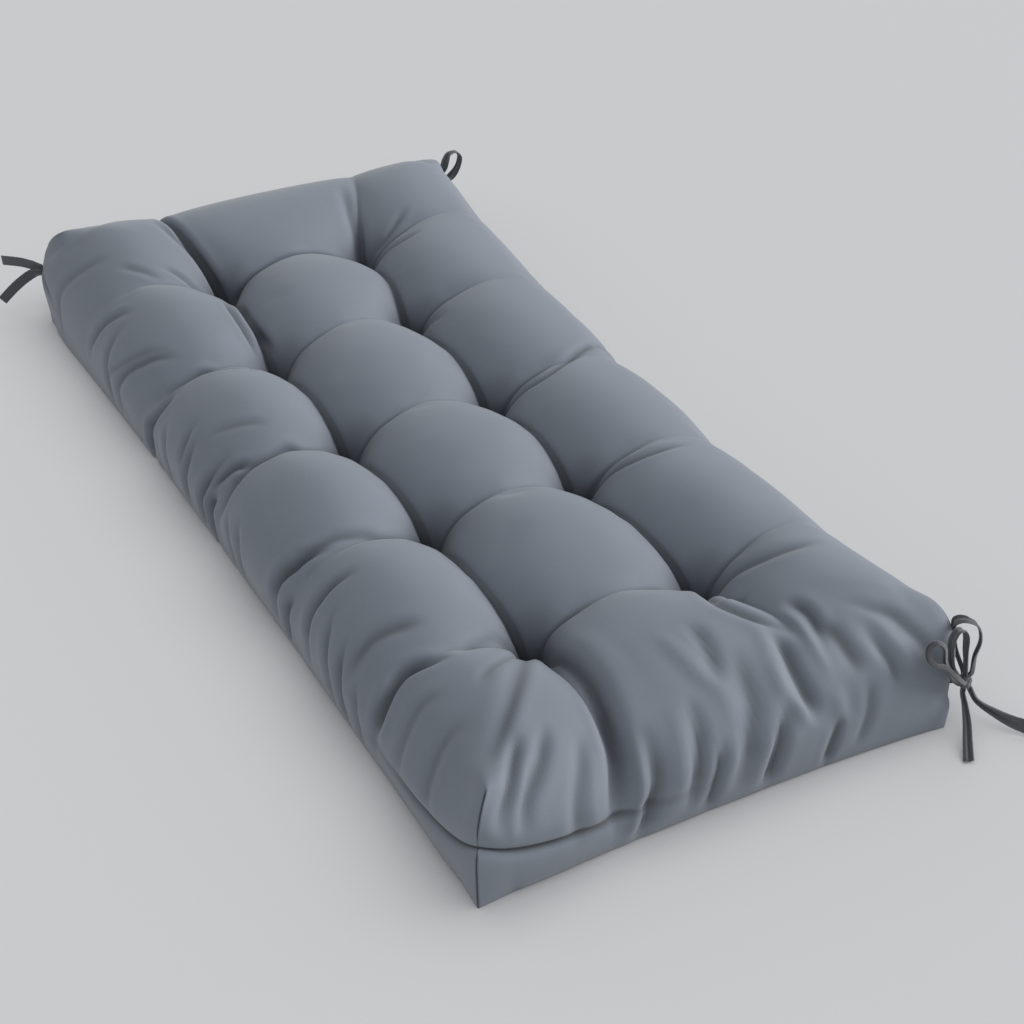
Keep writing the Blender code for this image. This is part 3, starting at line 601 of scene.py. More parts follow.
class Cover:
    """The cushion's cover as arrays: points, faces, and where each point lies on the flat panel."""

    def __init__(self, every=1):
        """every is 1 for the full mesh, or 2 for the one with half its columns and rows."""
        xs = panel_stations(COLUMN_X, SHOULDER_X, ALONG_STEPS)[::every]
        ys = panel_stations(ROW_Y, SHOULDER_Y, ACROSS_STEPS)[::every]
        stations = SIDE_STATIONS[::every]
        x, y = np.meshgrid(xs, ys, indexing="ij")
        columns, rows = panel_border(len(xs), len(ys))
        ring_x = x[columns, rows]
        ring_y = y[columns, rows]
        out_x = np.where(columns == len(xs) - 1, 1.0, np.where(columns == 0, -1.0, 0.0))
        out_y = np.where(rows == len(ys) - 1, 1.0, np.where(rows == 0, -1.0, 0.0))

        self.shape = x.shape
        self.stations = stations
        self.ring = len(columns)
        top = top_points(x, y)
        parts = [(top.reshape(-1, 3), np.stack([x, y], -1).reshape(-1, 2), np.zeros(x.size))]
        index = np.arange(x.size).reshape(x.shape)
        faces = [grid_quads(index)]
        above = index[columns, rows]
        count = x.size
        self.top_count = count
        shoulder = top[columns, rows, 2]
        for station in stations[1:]:
            side = side_points(ring_x, ring_y, station)
            below = np.arange(count, count + self.ring)
            faces.append(ring_quads(above, below))
            drop = shoulder - side[:, 2]
            parts.append((side, np.stack([ring_x + out_x * drop, ring_y + out_y * drop], -1),
                          bump(side[:, 2] - seam_height(ring_x, ring_y), SEAM_WIDTH)))
            above = below
            count += self.ring

        self.outer_count = count

        # The underside has half the columns, and is stitched to every second point of its rim.
        step = 2 // every
        under_x = x[::step, ::step]
        under_y = y[::step, ::step]
        under = under_points(under_x, under_y)
        inner = np.zeros(under_x.shape, bool)
        inner[1:-1, 1:-1] = True
        under_index = np.full(under_x.shape, -1)
        under_index[inner] = np.arange(count, count + inner.sum())
        parts.append((under[inner], np.stack([under_x[inner], under_y[inner]], -1),
                      np.zeros(inner.sum())))
        rim_columns, rim_rows = panel_border(*under_x.shape)
        under_index[rim_columns, rim_rows] = above[::step]
        faces.append(grid_quads(under_index)[:, ::-1])
        self.fans = np.zeros((0, 3), int)
        if step == 2:
            self.fans = np.stack([above[::2], np.roll(above[::2], -1), above[1::2]], -1)
        self.points, self.panel, self.seam = [np.concatenate(part) for part in zip(*parts)]
        self.faces = np.concatenate(faces)
        # The upright seams at the corners, from just under the shoulder to the floor.
        corners = [0, len(xs) - 1, len(xs) + len(ys) - 2, 2 * len(xs) + len(ys) - 3]
        self.upright = np.zeros(len(self.points))
        for row, station in enumerate(stations[1:]):
            first = self.top_count + row * self.ring
            self.upright[first + np.array(corners)] = smooth_step(station / UPRIGHT_SEAM_START)

    def smooth(self, weight, rounds):
        """Even the points out, each by its weight from 0 to 1 in every round."""
        links = np.concatenate([self.faces[:, [i, (i + 1) % 4]] for i in range(4)])
        links = np.unique(np.sort(links, axis=1), axis=0)
        start, end = np.concatenate([links, links[:, ::-1]]).T
        count = len(self.points)
        near = np.bincount(start, minlength=count)
        for _ in range(rounds):
            sums = [np.bincount(start, self.points[end, axis], count) for axis in range(3)]
            mean = np.stack(sums, -1) / near[:, None]
            self.points += (mean - self.points) * (0.5 * weight)[:, None]

    def hollows(self, rounds, depth):
        """0 to 1 for how far each point lies below the cloth round it, 1 at a depth or more."""
        normals = self.normals()
        kept = self.points.copy()
        self.smooth(np.ones(len(kept)), rounds)
        below = ((self.points - kept) * normals).sum(-1)
        self.points = kept
        return smooth_step(below / depth)

    def mesh(self, name):
        return new_mesh(name, self.points, self.faces.tolist() + self.fans.tolist())

    def normals(self):
        mesh = self.mesh("normals")
        normals = np.zeros(len(self.points) * 3)
        mesh.vertices.foreach_get("normal", normals)
        bpy.data.meshes.remove(mesh)
        return normals.reshape(-1, 3)


def shoulder_softness(cover):
    """Where the cover is evened out: near its shoulders, but not at its upright corner seams."""
    x, y = np.abs(cover.panel).T
    past = np.maximum(x - SHOULDER_X, y - SHOULDER_Y)
    corner = np.hypot(np.minimum(x - SHOULDER_X, 0), np.minimum(y - SHOULDER_Y, 0))
    below = blend(SHARP_TOP, 1.0, smooth_step(past / SHARP_TOP_REACH))
    kept = below * (1 - ramp(corner, *SHARP_REACH))
    low = smooth_step(past / SOFT_LOW) * (1 - seam_strength(*cover.panel.T))
    soft = np.maximum(bump(past - SOFT_PLACE, SOFT_REACH), low)
    return soft * (1 - kept) * (cover.points[:, 2] > SOFT_FLOOR)


def seam_strength(x, y):
    """The seam shows near the corners, and the folds between them lie over it."""
    return np.max([np.exp(-(corner_away(x, y, corner) / corner["shows"]) ** 4)
                   for corner in CORNERS.values()], axis=0)


def crease_pinch(x, y):
    """How far the cloth folds in along the creases, sharper than its pillows are round.

    The second value is the painted shade for the crease's line, 1 where the two banks of a deep
    crease meet.
    """
    away = tuft_away(x, y)
    pinch = 0
    shade = 0
    kinds = zip(crease_parts(x, y), (CROSS_TUFT_DEPTH, ROW_TUFT_DEPTH), (CROSS_PINCH, ROW_PINCH))
    for (depth, past, _), full, fold in kinds:
        near_tuft = blend(fold["left"], 1, bump(away - fold["place"], fold["reach"]))
        strength = np.clip(depth / full, 0, 1) ** PINCH_POWER * near_tuft
        width = np.where(past < 0, fold["before"], fold["past"])
        pinch = np.maximum(pinch, fold["depth"] * strength * np.exp(-np.abs(past) / width))
        # Painted shade along the crease's line.
        shade = np.maximum(shade, strength * bump(past, CREASE_LINE))
    return pinch, shade


def hidden_side_folds():
    """Folds down the two sides that face away, at places drawn from a fixed seed."""
    random = np.random.default_rng(11)
    folds = []
    for side, shoulder in (("right", SHOULDER_X), ("far", SHOULDER_Y)):
        reach = shoulder - CORNER_WITHOUT_FOLDS
        along = -reach
        while along < reach:
            down = np.linspace(random.uniform(0.014, 0.040), random.uniform(0.060, 0.120), 5)
            lean = random.uniform(-0.45, 0.45)
            place = along + lean * (down - down[0]) + random.uniform(-0.004, 0.004, 5)
            depth = random.uniform(0.0012, 0.0040) * random.choice([1.0, 1.0, 1.0, -0.4])
            along += random.uniform(0.012, 0.050)
            if side == "right":
                line = np.stack([place, SHOULDER_Y + down], -1)
            else:
                line = np.stack([-SHOULDER_X - down, place], -1)
            folds.append((depth, random.uniform(0.0045, 0.0110), 0.0, *line.tolist()))
    return folds


def smooth_line(places, steps=8):
    """Places on a smooth curve through the given ones."""
    places = np.array(places, float)
    ends = np.concatenate([[2 * places[0] - places[1]], places, [2 * places[-1] - places[-2]]])
    t = (np.arange(steps) / steps)[:, None]
    line = [between_rows(*ends[index:index + 4], t) for index in range(len(places) - 1)]
    return np.concatenate(line + [places[-1:]])


def in_metres(folds):
    """A fold table's rows in metres."""
    return [(depth / 1000, width / 1000, lean, *(np.array(places) / 1000))
            for depth, width, lean, *places in folds]


def fold_relief(panel, folds, root_strength):
    """How far the folds move each place out from the cover, below 0 where they sink in.

    root_strength is how strong a fold is at its root, where the others only fade in.  The second
    value is the fold's painted shade, 1 along the line of a deep fold.
    """
    relief = np.zeros(len(panel))
    shade = np.zeros(len(panel))
    for depth, width, lean, *places in folds:
        line = smooth_line(places)
        reach = FOLD_REACH * width
        near = ((panel > line.min(0) - reach) & (panel < line.max(0) + reach)).all(1)
        place = panel[near]
        start, run = line[:-1], np.diff(line, axis=0)
        length = np.linalg.norm(run, axis=1)
        offset = place[:, None] - start
        share = np.clip((offset * run).sum(-1) / length ** 2, 0, 1)
        away = np.linalg.norm(offset - share[..., None] * run, axis=-1)
        nearest = away.argmin(1)
        pick = np.arange(len(place)), nearest
        (run_x, run_y), (offset_x, offset_y) = run[nearest].T, offset[pick].T
        side = np.sign(run_x * offset_y - run_y * offset_x)
        started = np.concatenate([[0], np.cumsum(length)])[nearest]
        along = (started + share[pick] * length[nearest]) / length.sum()
        away = away[pick] / (width * (1 + lean * side))
        fade = np.maximum(smooth_step(along / FOLD_FADE), root_strength * (along < FOLD_FADE))
        fade = fade * smooth_step((1 - along) / FOLD_FADE)
        shape = FOLD_BANKS * bump(away - BANK_PLACE, BANK_WIDTH) - bump(away, 1)
        relief[near] += depth * fade * shape
        # Painted shade along the fold's line, darkest for deep folds.
        line_shade = min(max(depth / FULL_FOLD, 0), 1) * fade * bump(away, FOLD_LINE)
        shade[near] = np.maximum(shade[near], line_shade)
    return relief, shade


# -------------------------------- materials
FABRIC_COLOUR = (0.190, 0.213, 0.250)
WEAVE_PITCH = 0.0009            # from one thread to the next but one
THREAD_HEIGHT = 0.0002
SLUB_SCALES = ((140, 2600, 1), (2600, 140, 1))  # of the noise along and across each metre of cloth
DYE_SCALE = (9, 9, 1)
CLOTH_UNEVENNESS = 0.16         # how much both change the colour
HOLLOW_SHADE = 0.56             # how much painted shade darkens the cloth deep in a hollow
HOLLOW_ROUNDS = 26              # how wide a hollow it darkens in, in rounds of evening out
HOLLOW_DEPTH = 0.0052           # and how deep one is at its darkest
SEAM_AND_LINE_SHADE = 0.82               # how much darker the seam value makes the cloth: a seam's own dark line, and painted shade on crease lines and the far left tip
FOLD_SHADE = 1.00               # how dark a deep fold's line of painted shade is, as a share of a deep hollow's painted shade
TUFT_SHADE = 0.90               # how much painted shade darkens the cloth round a tuft, as a share of a deep hollow's
TUFT_SHADE_RADIUS = 0.026
BANK_SHADE_CUT = 0.65           # how much less painted shade a hollow gets on a crease's banks
BANK_SHADE_WIDTH = 0.014
CREASE_LINE_SHADE = 0.95        # painted shade on a crease's line, as a share of a seam's darkening
TIP_SHADE = 0.80                # and painted shade at the far left corner's tip
TIP_SHADE_RADIUS = 0.007
FLOOR_SHADE_FADE = 0.008        # how high above the floor the painted shade starts
TAPE_COLOUR = (0.088, 0.093, 0.101)
TAPE_RIB = 0.0011               # from one rib across the tape to the next
TAPE_THREAD = TAPE_RIB / 1.6    # and from one thread along it to the next
TAPE_INSIDE = 0.42              # of its width to each side of its middle, between the selvedges
TAPE_NOISE_SCALE = 900.0
TAPE_UNEVENNESS = 0.30


def new_material(name, colour, roughness):
    material = bpy.data.materials.new(name)
    material.use_nodes = True
    shader = material.node_tree.nodes["Principled BSDF"]
    shader.inputs["Base Color"].default_value = (*colour, 1)
    shader.inputs["Roughness"].default_value = roughness
    return material, shader


class Nodes:
    """Adds nodes to a material's tree and links them."""

    def __init__(self, material):
        self.tree = material.node_tree

    def add(self, kind, inputs=(), **settings):
        node = self.tree.nodes.new("ShaderNode" + kind)
        for name, value in settings.items():
            setattr(node, name, value)
        for name, value in dict(inputs).items():
            if isinstance(value, bpy.types.NodeSocket):
                self.tree.links.new(value, node.inputs[name])
            else:
                node.inputs[name].default_value = value
        return node

    def maths(self, operation, *values):
        return self.add("Math", dict(enumerate(values)), operation=operation).outputs[0]

    def times(self, *values):
        return self.maths("MULTIPLY", *values)

    def plus(self, *values):
        return self.maths("ADD", *values)

    def waves(self, place, pitch):
        return self.maths("SINE", self.times(place, 2 * math.pi / pitch))

    def darker(self, light, where, share):
        """The light less a share of it where a value is 1."""
        return self.times(light, self.maths("SUBTRACT", 1.0, self.times(where, share)))

    def dress(self, shader, colour, light, height, strength):
        """Give the shader a colour times a light, and a bump of some strength from a height."""
        shaded = self.add("VectorMath", {0: colour, "Scale": light}, operation="SCALE")
        self.tree.links.new(shaded.outputs[0], shader.inputs["Base Color"])
        raised = self.add("Bump", {"Height": height, "Strength": strength, "Distance": THREAD_HEIGHT})
        self.tree.links.new(raised.outputs[0], shader.inputs["Normal"])


def tape_material():
    """Ribbed tape with a smooth selvedge along both edges."""
    material, shader = new_material("tie_tape_cloth", TAPE_COLOUR, 0.80)
    shader.inputs["Sheen Weight"].default_value = 0.35
    nodes = Nodes(material)
    places = nodes.add("UVMap", uv_map="cloth").outputs[0]
    across, along, _ = nodes.add("SeparateXYZ", {0: places}).outputs
    inside = nodes.maths("LESS_THAN", nodes.maths("ABSOLUTE", across), TAPE_WIDTH * TAPE_INSIDE)
    threads = nodes.times(nodes.waves(across, TAPE_THREAD), 0.5)
    height = nodes.times(nodes.plus(nodes.waves(along, TAPE_RIB), threads), inside)
    noise = nodes.add("TexNoise", {"Vector": places, "Scale": TAPE_NOISE_SCALE, "Detail": 2.0})
    # The ribs are painted lighter on their raised threads and darker between them, a painted
    # highlight and shade over the bump; the noise is the tape's own uneven tone.
    light = nodes.plus(nodes.times(noise.outputs[0], TAPE_UNEVENNESS), nodes.times(height, 0.06))
    light = nodes.plus(light, 1 - TAPE_UNEVENNESS / 2)
    nodes.dress(shader, TAPE_COLOUR, light, height, 0.5)
    return material


def fabric_material():
    """A plain weave, darker where its points' shade values say so: painted shade in hollows, folds,
    crease lines, round the tufts and at the far left tip, and the seams' own dark line.
    """
    material, shader = new_material("slate_cloth", FABRIC_COLOUR, 0.72)
    shader.inputs["Sheen Weight"].default_value = 0.20
    shader.inputs["Sheen Roughness"].default_value = 0.45
    shader.inputs["Specular IOR Level"].default_value = 0.35
    nodes = Nodes(material)
    places = nodes.add("UVMap", uv_map="cloth").outputs[0]
    hollow_shade = nodes.add("Attribute", attribute_name="hollow_shade").outputs["Fac"]
    # The seam value holds the seams' own dark line and also painted shade on the creases' lines and
    # the far left tip.
    seam = nodes.add("Attribute", attribute_name="seam").outputs["Fac"]

    # Slubs along both threads and a soft unevenness of the dye.
    shades = []
    for scale in (*SLUB_SCALES, DYE_SCALE):
        stretched = nodes.add("Mapping", {"Vector": places, "Scale": scale}).outputs[0]
        noise = nodes.add("TexNoise", {"Vector": stretched, "Scale": 1.0, "Detail": 2.0})
        shades.append(nodes.maths("SUBTRACT", noise.outputs[0], 0.5))
    unevenness = nodes.plus(nodes.plus(*shades[:2]), shades[2])
    light = nodes.plus(nodes.times(unevenness, CLOTH_UNEVENNESS), 1.0)
    light = nodes.darker(light, hollow_shade, HOLLOW_SHADE)
    light = nodes.darker(light, seam, SEAM_AND_LINE_SHADE)
    along, across, _ = nodes.add("SeparateXYZ", {0: places}).outputs
    weave = nodes.times(nodes.waves(along, WEAVE_PITCH), nodes.waves(across, WEAVE_PITCH))
    nodes.dress(shader, FABRIC_COLOUR, light, weave, 0.12)
    return material


# -------------------------------- the pieces

def add_object(name, data):
    """A new object in the scene."""
    thing = bpy.data.objects.new(name, data)
    bpy.context.scene.collection.objects.link(thing)
    return thing


def new_mesh(name, points, faces):
    mesh = bpy.data.meshes.new(name)
    mesh.from_pydata(points.tolist(), [], faces)
    mesh.update()
    return mesh


def set_shade(mesh, name, values):
    """A value from 0 to 1 for each point, which the material reads."""
    mesh.attributes.new(name, "FLOAT", "POINT").data.foreach_set("value", values)


def dress_mesh(mesh, places, material):
    """Smooth shading, a material, and texture places in metres, given for each point."""
    layer = mesh.uv_layers.new(name="cloth")
    corners = np.zeros(len(mesh.loops), int)
    mesh.loops.foreach_get("vertex_index", corners)
    layer.data.foreach_set("uv", places[corners].ravel())
    mesh.polygons.foreach_set("use_smooth", [True] * len(mesh.polygons))
    mesh.materials.append(material)


def upsampled(coarse, wrap):
    """Values between those given along the first axis, on a smooth curve through them."""
    if wrap:
        ends = np.concatenate([coarse[-1:], coarse, coarse[:2]])
    else:
        ends = np.concatenate([coarse[:1], coarse, coarse[-1:]])
    between = (9 * (ends[1:-2] + ends[2:-1]) - ends[:-3] - ends[3:]) / 16
    fine = np.zeros((len(coarse) + len(between), *coarse.shape[1:]))
    fine[::2] = coarse
    fine[1::2] = between
    return fine


def upsampled_grid(coarse, wrap):
    """The same along the first two axes, of which the second may be a ring."""
    return upsampled(upsampled(coarse, False).swapaxes(0, 1), wrap).swapaxes(0, 1)


def settled_cloth(cover):
    """How the cover's cloth moves when its filling presses out and it is a little too large.

    A cloth simulation runs on every second point of the cover.  It is held at the tufts, at the
    corners and at the floor, and loosely by the filling everywhere else.
    """
    coarse = Cover(every=2)
    shape = cover.shape
    top = cover.points[:cover.top_count].reshape(*shape, 3)[::2, ::2]
    rings = cover.points[cover.top_count:cover.outer_count].reshape(-1, cover.ring, 3)
    start = np.concatenate([top.reshape(-1, 3), rings[1::2, ::2].reshape(-1, 3)])
    faces = coarse.faces[(coarse.faces < len(start)).all(1)]
    piece = add_object("settling", new_mesh("settling", start, faces.tolist()))

    x, y = coarse.panel[:len(start)].T
    in_crease = crease_pinch(x, y)[0] * (np.arange(len(start)) < coarse.top_count)
    held = np.maximum.reduce([1 - ramp(tuft_away(x, y), *TUFT_HOLD),
                              1 - ramp(start[:, 2], *FLOOR_HOLD),
                              1 - ramp(nearest_corner_away(x, y), *CORNER_HOLD),
                              np.clip(in_crease / CREASE_HOLD, 0, 1),
                              np.full(len(start), FILLING_HOLD)])
    group = piece.vertex_groups.new(name="held")
    for index, weight in enumerate(held):
        group.add([index], float(weight), "REPLACE")

    cloth = piece.modifiers.new("cloth", "CLOTH")
    for name, value in CLOTH_SETTINGS.items():
        setattr(cloth.settings, name, value)
    cloth.settings.vertex_group_mass = "held"
    cloth.settings.effector_weights.gravity = 0
    cloth.point_cache.frame_start = 1
    cloth.point_cache.frame_end = SETTLING_FRAMES
    for number in range(1, SETTLING_FRAMES + 1):
        bpy.context.scene.frame_set(number)
    posed = piece.evaluated_get(bpy.context.evaluated_depsgraph_get())
    moved = np.zeros(len(start) * 3)
    posed.data.vertices.foreach_get("co", moved)
    moved = moved.reshape(-1, 3) - start
    bpy.data.objects.remove(piece, do_unlink=True)
    bpy.context.scene.frame_set(1)

    length = np.linalg.norm(moved, axis=1)
    moved *= (SETTLING_LIMIT * np.tanh(length / SETTLING_LIMIT) / np.maximum(length, 1e-9))[:, None]
    coarse.points[:len(start)] = moved
    coarse.points[len(start):] = 0
    coarse.smooth(np.arange(len(coarse.points)) < len(start), SETTLING_ROUNDS)
    moved = coarse.points[:len(start)]
    top_moved = moved[:coarse.top_count].reshape(*coarse.shape, 3)
    border = top_moved[tuple(panel_border(*coarse.shape))]
    ring_moved = np.concatenate([border[None], moved[coarse.top_count:].reshape(-1, coarse.ring, 3)])
    result = np.zeros_like(cover.points)
    result[:cover.top_count] = upsampled_grid(top_moved, False).reshape(-1, 3)
    fine_rings = upsampled_grid(ring_moved, True)[1:]
    result[cover.top_count:cover.outer_count] = fine_rings.reshape(-1, 3)
    return result


def make_cover():
    cover = Cover()
    cover.smooth(shoulder_softness(cover), SHOULDER_ROUNDS)
    normals = cover.normals()
    x, y = cover.panel.T
    edge_x = np.clip(x, -SHOULDER_X, SHOULDER_X)
    edge_y = np.clip(y, -SHOULDER_Y, SHOULDER_Y)
    number = np.arange(len(x))
    on_top = number < cover.top_count
    outer = number < cover.outer_count
    on_side = outer & ~on_top

    pinch, crease_shade = crease_pinch(x, y)
    relief = -pinch * on_top
    fold_shade = np.zeros(len(x))
    groups = ((in_metres(TUFT_FOLDS), 1.0), (in_metres(DRAPE_FOLDS) + hidden_side_folds(), 0.0))
    for folds, root_strength in groups:
        moved, shade = fold_relief(cover.panel[outer], folds, root_strength)
        relief[outer] += moved
        fold_shade[outer] = np.maximum(fold_shade[outer], shade)
    relief -= seam_strength(x, y) * SEAM_DEPTH * cover.seam
    relief -= UPRIGHT_SEAM_DEPTH * cover.upright

    # The far left corner is a sharp tip with its sides drawn in below it.
    tip = CORNERS["far_left"]
    tip_away = corner_away(x, y, tip)
    relief += TIP_RISE["depth"] * bump(tip_away, TIP_RISE["radius"]) * outer
    below = bump(tip_away - TIP_DRAW["place"], TIP_DRAW["width"])
    relief -= TIP_DRAW["depth"] * below * on_side
    foot = 1 - smooth_step(cover.points[:, 2] / FOOT_DRAW["height"])
    near_foot = bump(corner_away(edge_x, edge_y, tip), FOOT_DRAW["radius"])
    drawn = FOOT_DRAW["depth"] * foot * near_foot
    cover.points[:, :2] += drawn[:, None]

    # Above the seam the top panel's filling bulges over it.
    above = cover.points[:, 2] - seam_height(edge_x, edge_y)
    tuck = np.where(above > 0, bump(above, SEAM_TUCK_ABOVE), bump(above, SEAM_TUCK_BELOW))
    relief -= SEAM_TUCK * seam_strength(x, y) * tuck * on_side

    # At the floor the folds move the cloth level with it, and by less.
    share = np.where(outer, smooth_step(cover.points[:, 2] / FLOOR_FADE), 1)
    cover.points[:, :2] += normals[:, :2] * (relief * blend(FLOOR_RELIEF, 1.0, share))[:, None]
    cover.points[:, 2] += normals[:, 2] * relief * share
    cover.points += settled_cloth(cover)
    cover.points[:, 2] = np.maximum(cover.points[:, 2], 0)

    mesh = cover.mesh("cover")
    dress_mesh(mesh, cover.panel, fabric_material())
    # The cloth turns under sharply at the floor.
    ends = np.zeros(2 * len(mesh.edges), int)
    mesh.edges.foreach_get("vertices", ends)
    on_rim = (ends >= cover.outer_count - cover.ring) & (ends < cover.outer_count)
    mesh.edges.foreach_set("use_edge_sharp", on_rim.reshape(-1, 2).all(1))

    # The creases' banks shade each other, so the painted shade of the hollows is cut there, and
    # painted shade darkens the cloth softly round the tufts alone.
    off_floor = smooth_step(cover.points[:, 2] / FLOOR_SHADE_FADE)
    to_crease = np.minimum(*[np.abs(past) for _, past, _ in crease_parts(x, y)])
    on_bank = bump(to_crease, BANK_SHADE_WIDTH) * on_top
    hollow_shade = cover.hollows(HOLLOW_ROUNDS, HOLLOW_DEPTH) * off_floor * (1 - BANK_SHADE_CUT * on_bank)
    hollow_shade = np.maximum(hollow_shade, FOLD_SHADE * fold_shade * off_floor)
    tuft_shade = TUFT_SHADE * bump(tuft_away(x, y), TUFT_SHADE_RADIUS) * on_top
    set_shade(mesh, "hollow_shade", np.maximum(hollow_shade, tuft_shade))
    # Painted shade along the creases' lines and at the far left tip goes in with the seams' own dark
    # line.
    seam_and_shade_lines = [cover.seam * seam_strength(x, y), cover.upright,
             CREASE_LINE_SHADE * crease_shade * on_top,
             TIP_SHADE * bump(tip_away, TIP_SHADE_RADIUS) * outer]
    set_shade(mesh, "seam", np.max(seam_and_shade_lines, axis=0))

    piece = add_object("cover", mesh)
    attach(piece, "root")
    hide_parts("cushion")
    return piece


# -------------------------------- the ties' shapes

def corner_point(name, height):
    """A point on the upright seam of a corner."""
    x = np.array([CORNERS[name]["x"] * SHOULDER_X])
    y = np.array([CORNERS[name]["y"] * SHOULDER_Y])
    line = [top_points(x, y)[0]]
    line += [side_points(x, y, station)[0] for station in range(len(SIDE_ROWS))]
    for upper, lower in zip(line, line[1:]):
        if lower[2] <= height <= upper[2]:
            return blend(lower, upper, (height - lower[2]) / (upper[2] - lower[2]))
    return line[-1]


def corner_outward(name):
    return unit([CORNERS[name]["x"], CORNERS[name]["y"], 0.0])


def unit(vector):
    vector = np.asarray(vector, float)
    return vector / np.linalg.norm(vector, axis=-1, keepdims=True)


def level_axes(heading):
    """The right, up and out directions of a tie whose right points along a heading in degrees."""
    right = np.array([math.cos(math.radians(heading)), math.sin(math.radians(heading)), 0.0])
    up = np.array([0.0, 0.0, 1.0])
    return np.array([right, up, np.cross(right, up)])


def route_rows(table):
    """A route table's rows in metres and degrees."""
    return np.array(table, float) / (1000, 1000, 1000, 1, 1000)


def smooth_route(route):
    """Rows on a smooth curve through the route's own rows, TAPE_STEPS to each stretch."""
    route = np.array(route)
    runs = np.linalg.norm(np.diff(route[:, :3], axis=0), axis=1)
    last = len(route) - 1
    slopes = []
    for index in range(len(route)):
        before = max(index - 1, 0)
        after = min(index + 1, last)
        slopes.append((route[after] - route[before]) / runs[before:after].sum())
    samples = []
    for index, run in enumerate(runs):
        for t in np.arange(TAPE_STEPS) / TAPE_STEPS:
            samples.append(blend(route[index], route[index + 1], t * t * (3 - 2 * t))
                           + run * t * (1 - t) ** 2 * slopes[index]
                           - run * t * t * (1 - t) * slopes[index + 1])
    samples.append(route[-1])
    return np.array(samples)


def pleated_section(width, phase):
    """The tape's cross-section, gathered to a width in even folds, as across and out places."""
    across = np.linspace(-0.5, 0.5, TAPE_STRIPS * 2 + 1)
    folds = np.sin(np.pi * (TAPE_PLEATS * across + phase))
    low, high = 0.0, DEEPEST_PLEAT
    for _ in range(24):
        height = (low + high) / 2
        steps = np.hypot(np.diff(across) * width, np.diff(folds) * height)
        if steps.sum() < TAPE_WIDTH * PLEATED_SHARE:
            low = height
        else:
            high = height
    return np.stack([across * width, folds * height], -1)[::2]


def make_tape(name, route, start, axes, across, phase=PLEAT_PHASE):
    """A thin tape along a route's rows, with its edges a little uneven as woven tape's are."""
    samples = smooth_route(route)
    centres = start + samples[:, :3] @ axes
    tangents = unit(np.gradient(centres, axis=0))
    run = np.concatenate([[0], np.cumsum(np.linalg.norm(np.diff(centres, axis=0), axis=1))])
    rows = []
    uvs = []
    for centre, tangent, sample, along in zip(centres, tangents, samples, run):
        side = unit(across - tangent * (tangent @ across))
        turn = math.radians(sample[3])
        normal = np.cross(tangent, side)
        side, normal = (side * math.cos(turn) + normal * math.sin(turn),
                        normal * math.cos(turn) - side * math.sin(turn))
        width = min(sample[4], TAPE_WIDTH * WIDEST_SHARE)
        width *= 1 + EDGE_WAVE * math.sin(along * EDGE_WAVE_RATE)
        section = pleated_section(width, phase)
        ahead = unit(np.gradient(section, axis=0))
        facing = np.stack([-ahead[:, 1], ahead[:, 0]], -1) * TAPE_THICKNESS / 2
        outline = np.concatenate([section + facing, (section - facing)[::-1]])
        rows.append(centre + outline[:, :1] * side + outline[:, 1:] * normal)
        place = np.linspace(-0.5, 0.5, len(section)) * TAPE_WIDTH
        outline_places = np.concatenate([place, place[::-1]])
        uvs.append(np.stack([outline_places, np.full(len(outline), along)], -1))
    ring = len(rows[0])
    index = np.arange(len(rows) * ring).reshape(len(rows), ring)
    faces = [ring_quads(above, below) for above, below in zip(index, index[1:])]
    half = ring // 2
    for first, flip in ((index[0], 1), (index[-1], -1)):
        front, back = first[:half], first[::-1][:half]
        faces.append(np.stack([front[:-1], front[1:], back[1:], back[:-1]], -1)[:, ::flip])
    faces = np.concatenate(faces).tolist()
    add_piece(name, np.concatenate(rows), faces, np.concatenate(uvs))


def add_piece(name, points, faces, uvs):
    """One piece of tape that stands for the solid of its name."""
    mesh = new_mesh(name + "_cloth", points, faces)
    dress_mesh(mesh, uvs, TAPE_MATERIAL)
    piece = add_object(name + "_cloth", mesh)
    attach(piece, "root")
    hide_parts(name)


def knot_rows(direction):
    """The two route rows of a tape's straight run out of the knot."""
    along = unit(direction)
    surface = 1 / np.linalg.norm(along / np.array(KNOT_RADII))
    return [(*(along * (surface + beyond)), 0, GATHERED_WIDTH) for beyond in (-KNOT_BITE, KNOT_LEAD)]


def make_ties():
    up = np.array([0.0, 0.0, 1.0])
    outward = corner_outward("far_left")
    right = np.cross(up, outward)
    seam = corner_point("far_left", LEFT_TIE_HEIGHT) + outward * SEAM_GAP
    for strand in LEFT_STRANDS:
        start = seam + right * strand["beside"] * STRAND_SPACING
        route = route_rows(strand["route"])
        make_tape(strand["name"], route, start, np.array([right, up, outward]), up)

    start = corner_point("far_right", FAR_LOOP_HEIGHT) + corner_outward("far_right") * SEAM_GAP
    axes = level_axes(FAR_LOOP_HEADING)
    make_tape("tie_far_loop", route_rows(FAR_LOOP_ROUTE), start, axes, axes[2])

    axes = level_axes(BOW_HEADING)
    outward = corner_outward("near_right")
    seam = corner_point("near_right", KNOT_HEIGHT)
    knot = seam + outward * KNOT_STANDOFF
    make_knot(knot, axes)
    for number, tape in enumerate(BOW_TAPES):
        route = [*knot_rows(tape["leaves"]), *route_rows(tape["route"])]
        if "returns" in tape:
            route += reversed(knot_rows(tape["returns"]))
        across = np.array(tape["across"]) @ axes
        make_tape(tape["name"], route, knot, axes, across, PLEAT_PHASE + PLEAT_PHASE_STEP * number)
    axes = np.array([np.cross(up, outward), up, outward])
    make_tape("tie_bow_root", route_rows(ROOT_ROUTE), seam + outward * SEAM_GAP, axes, up)


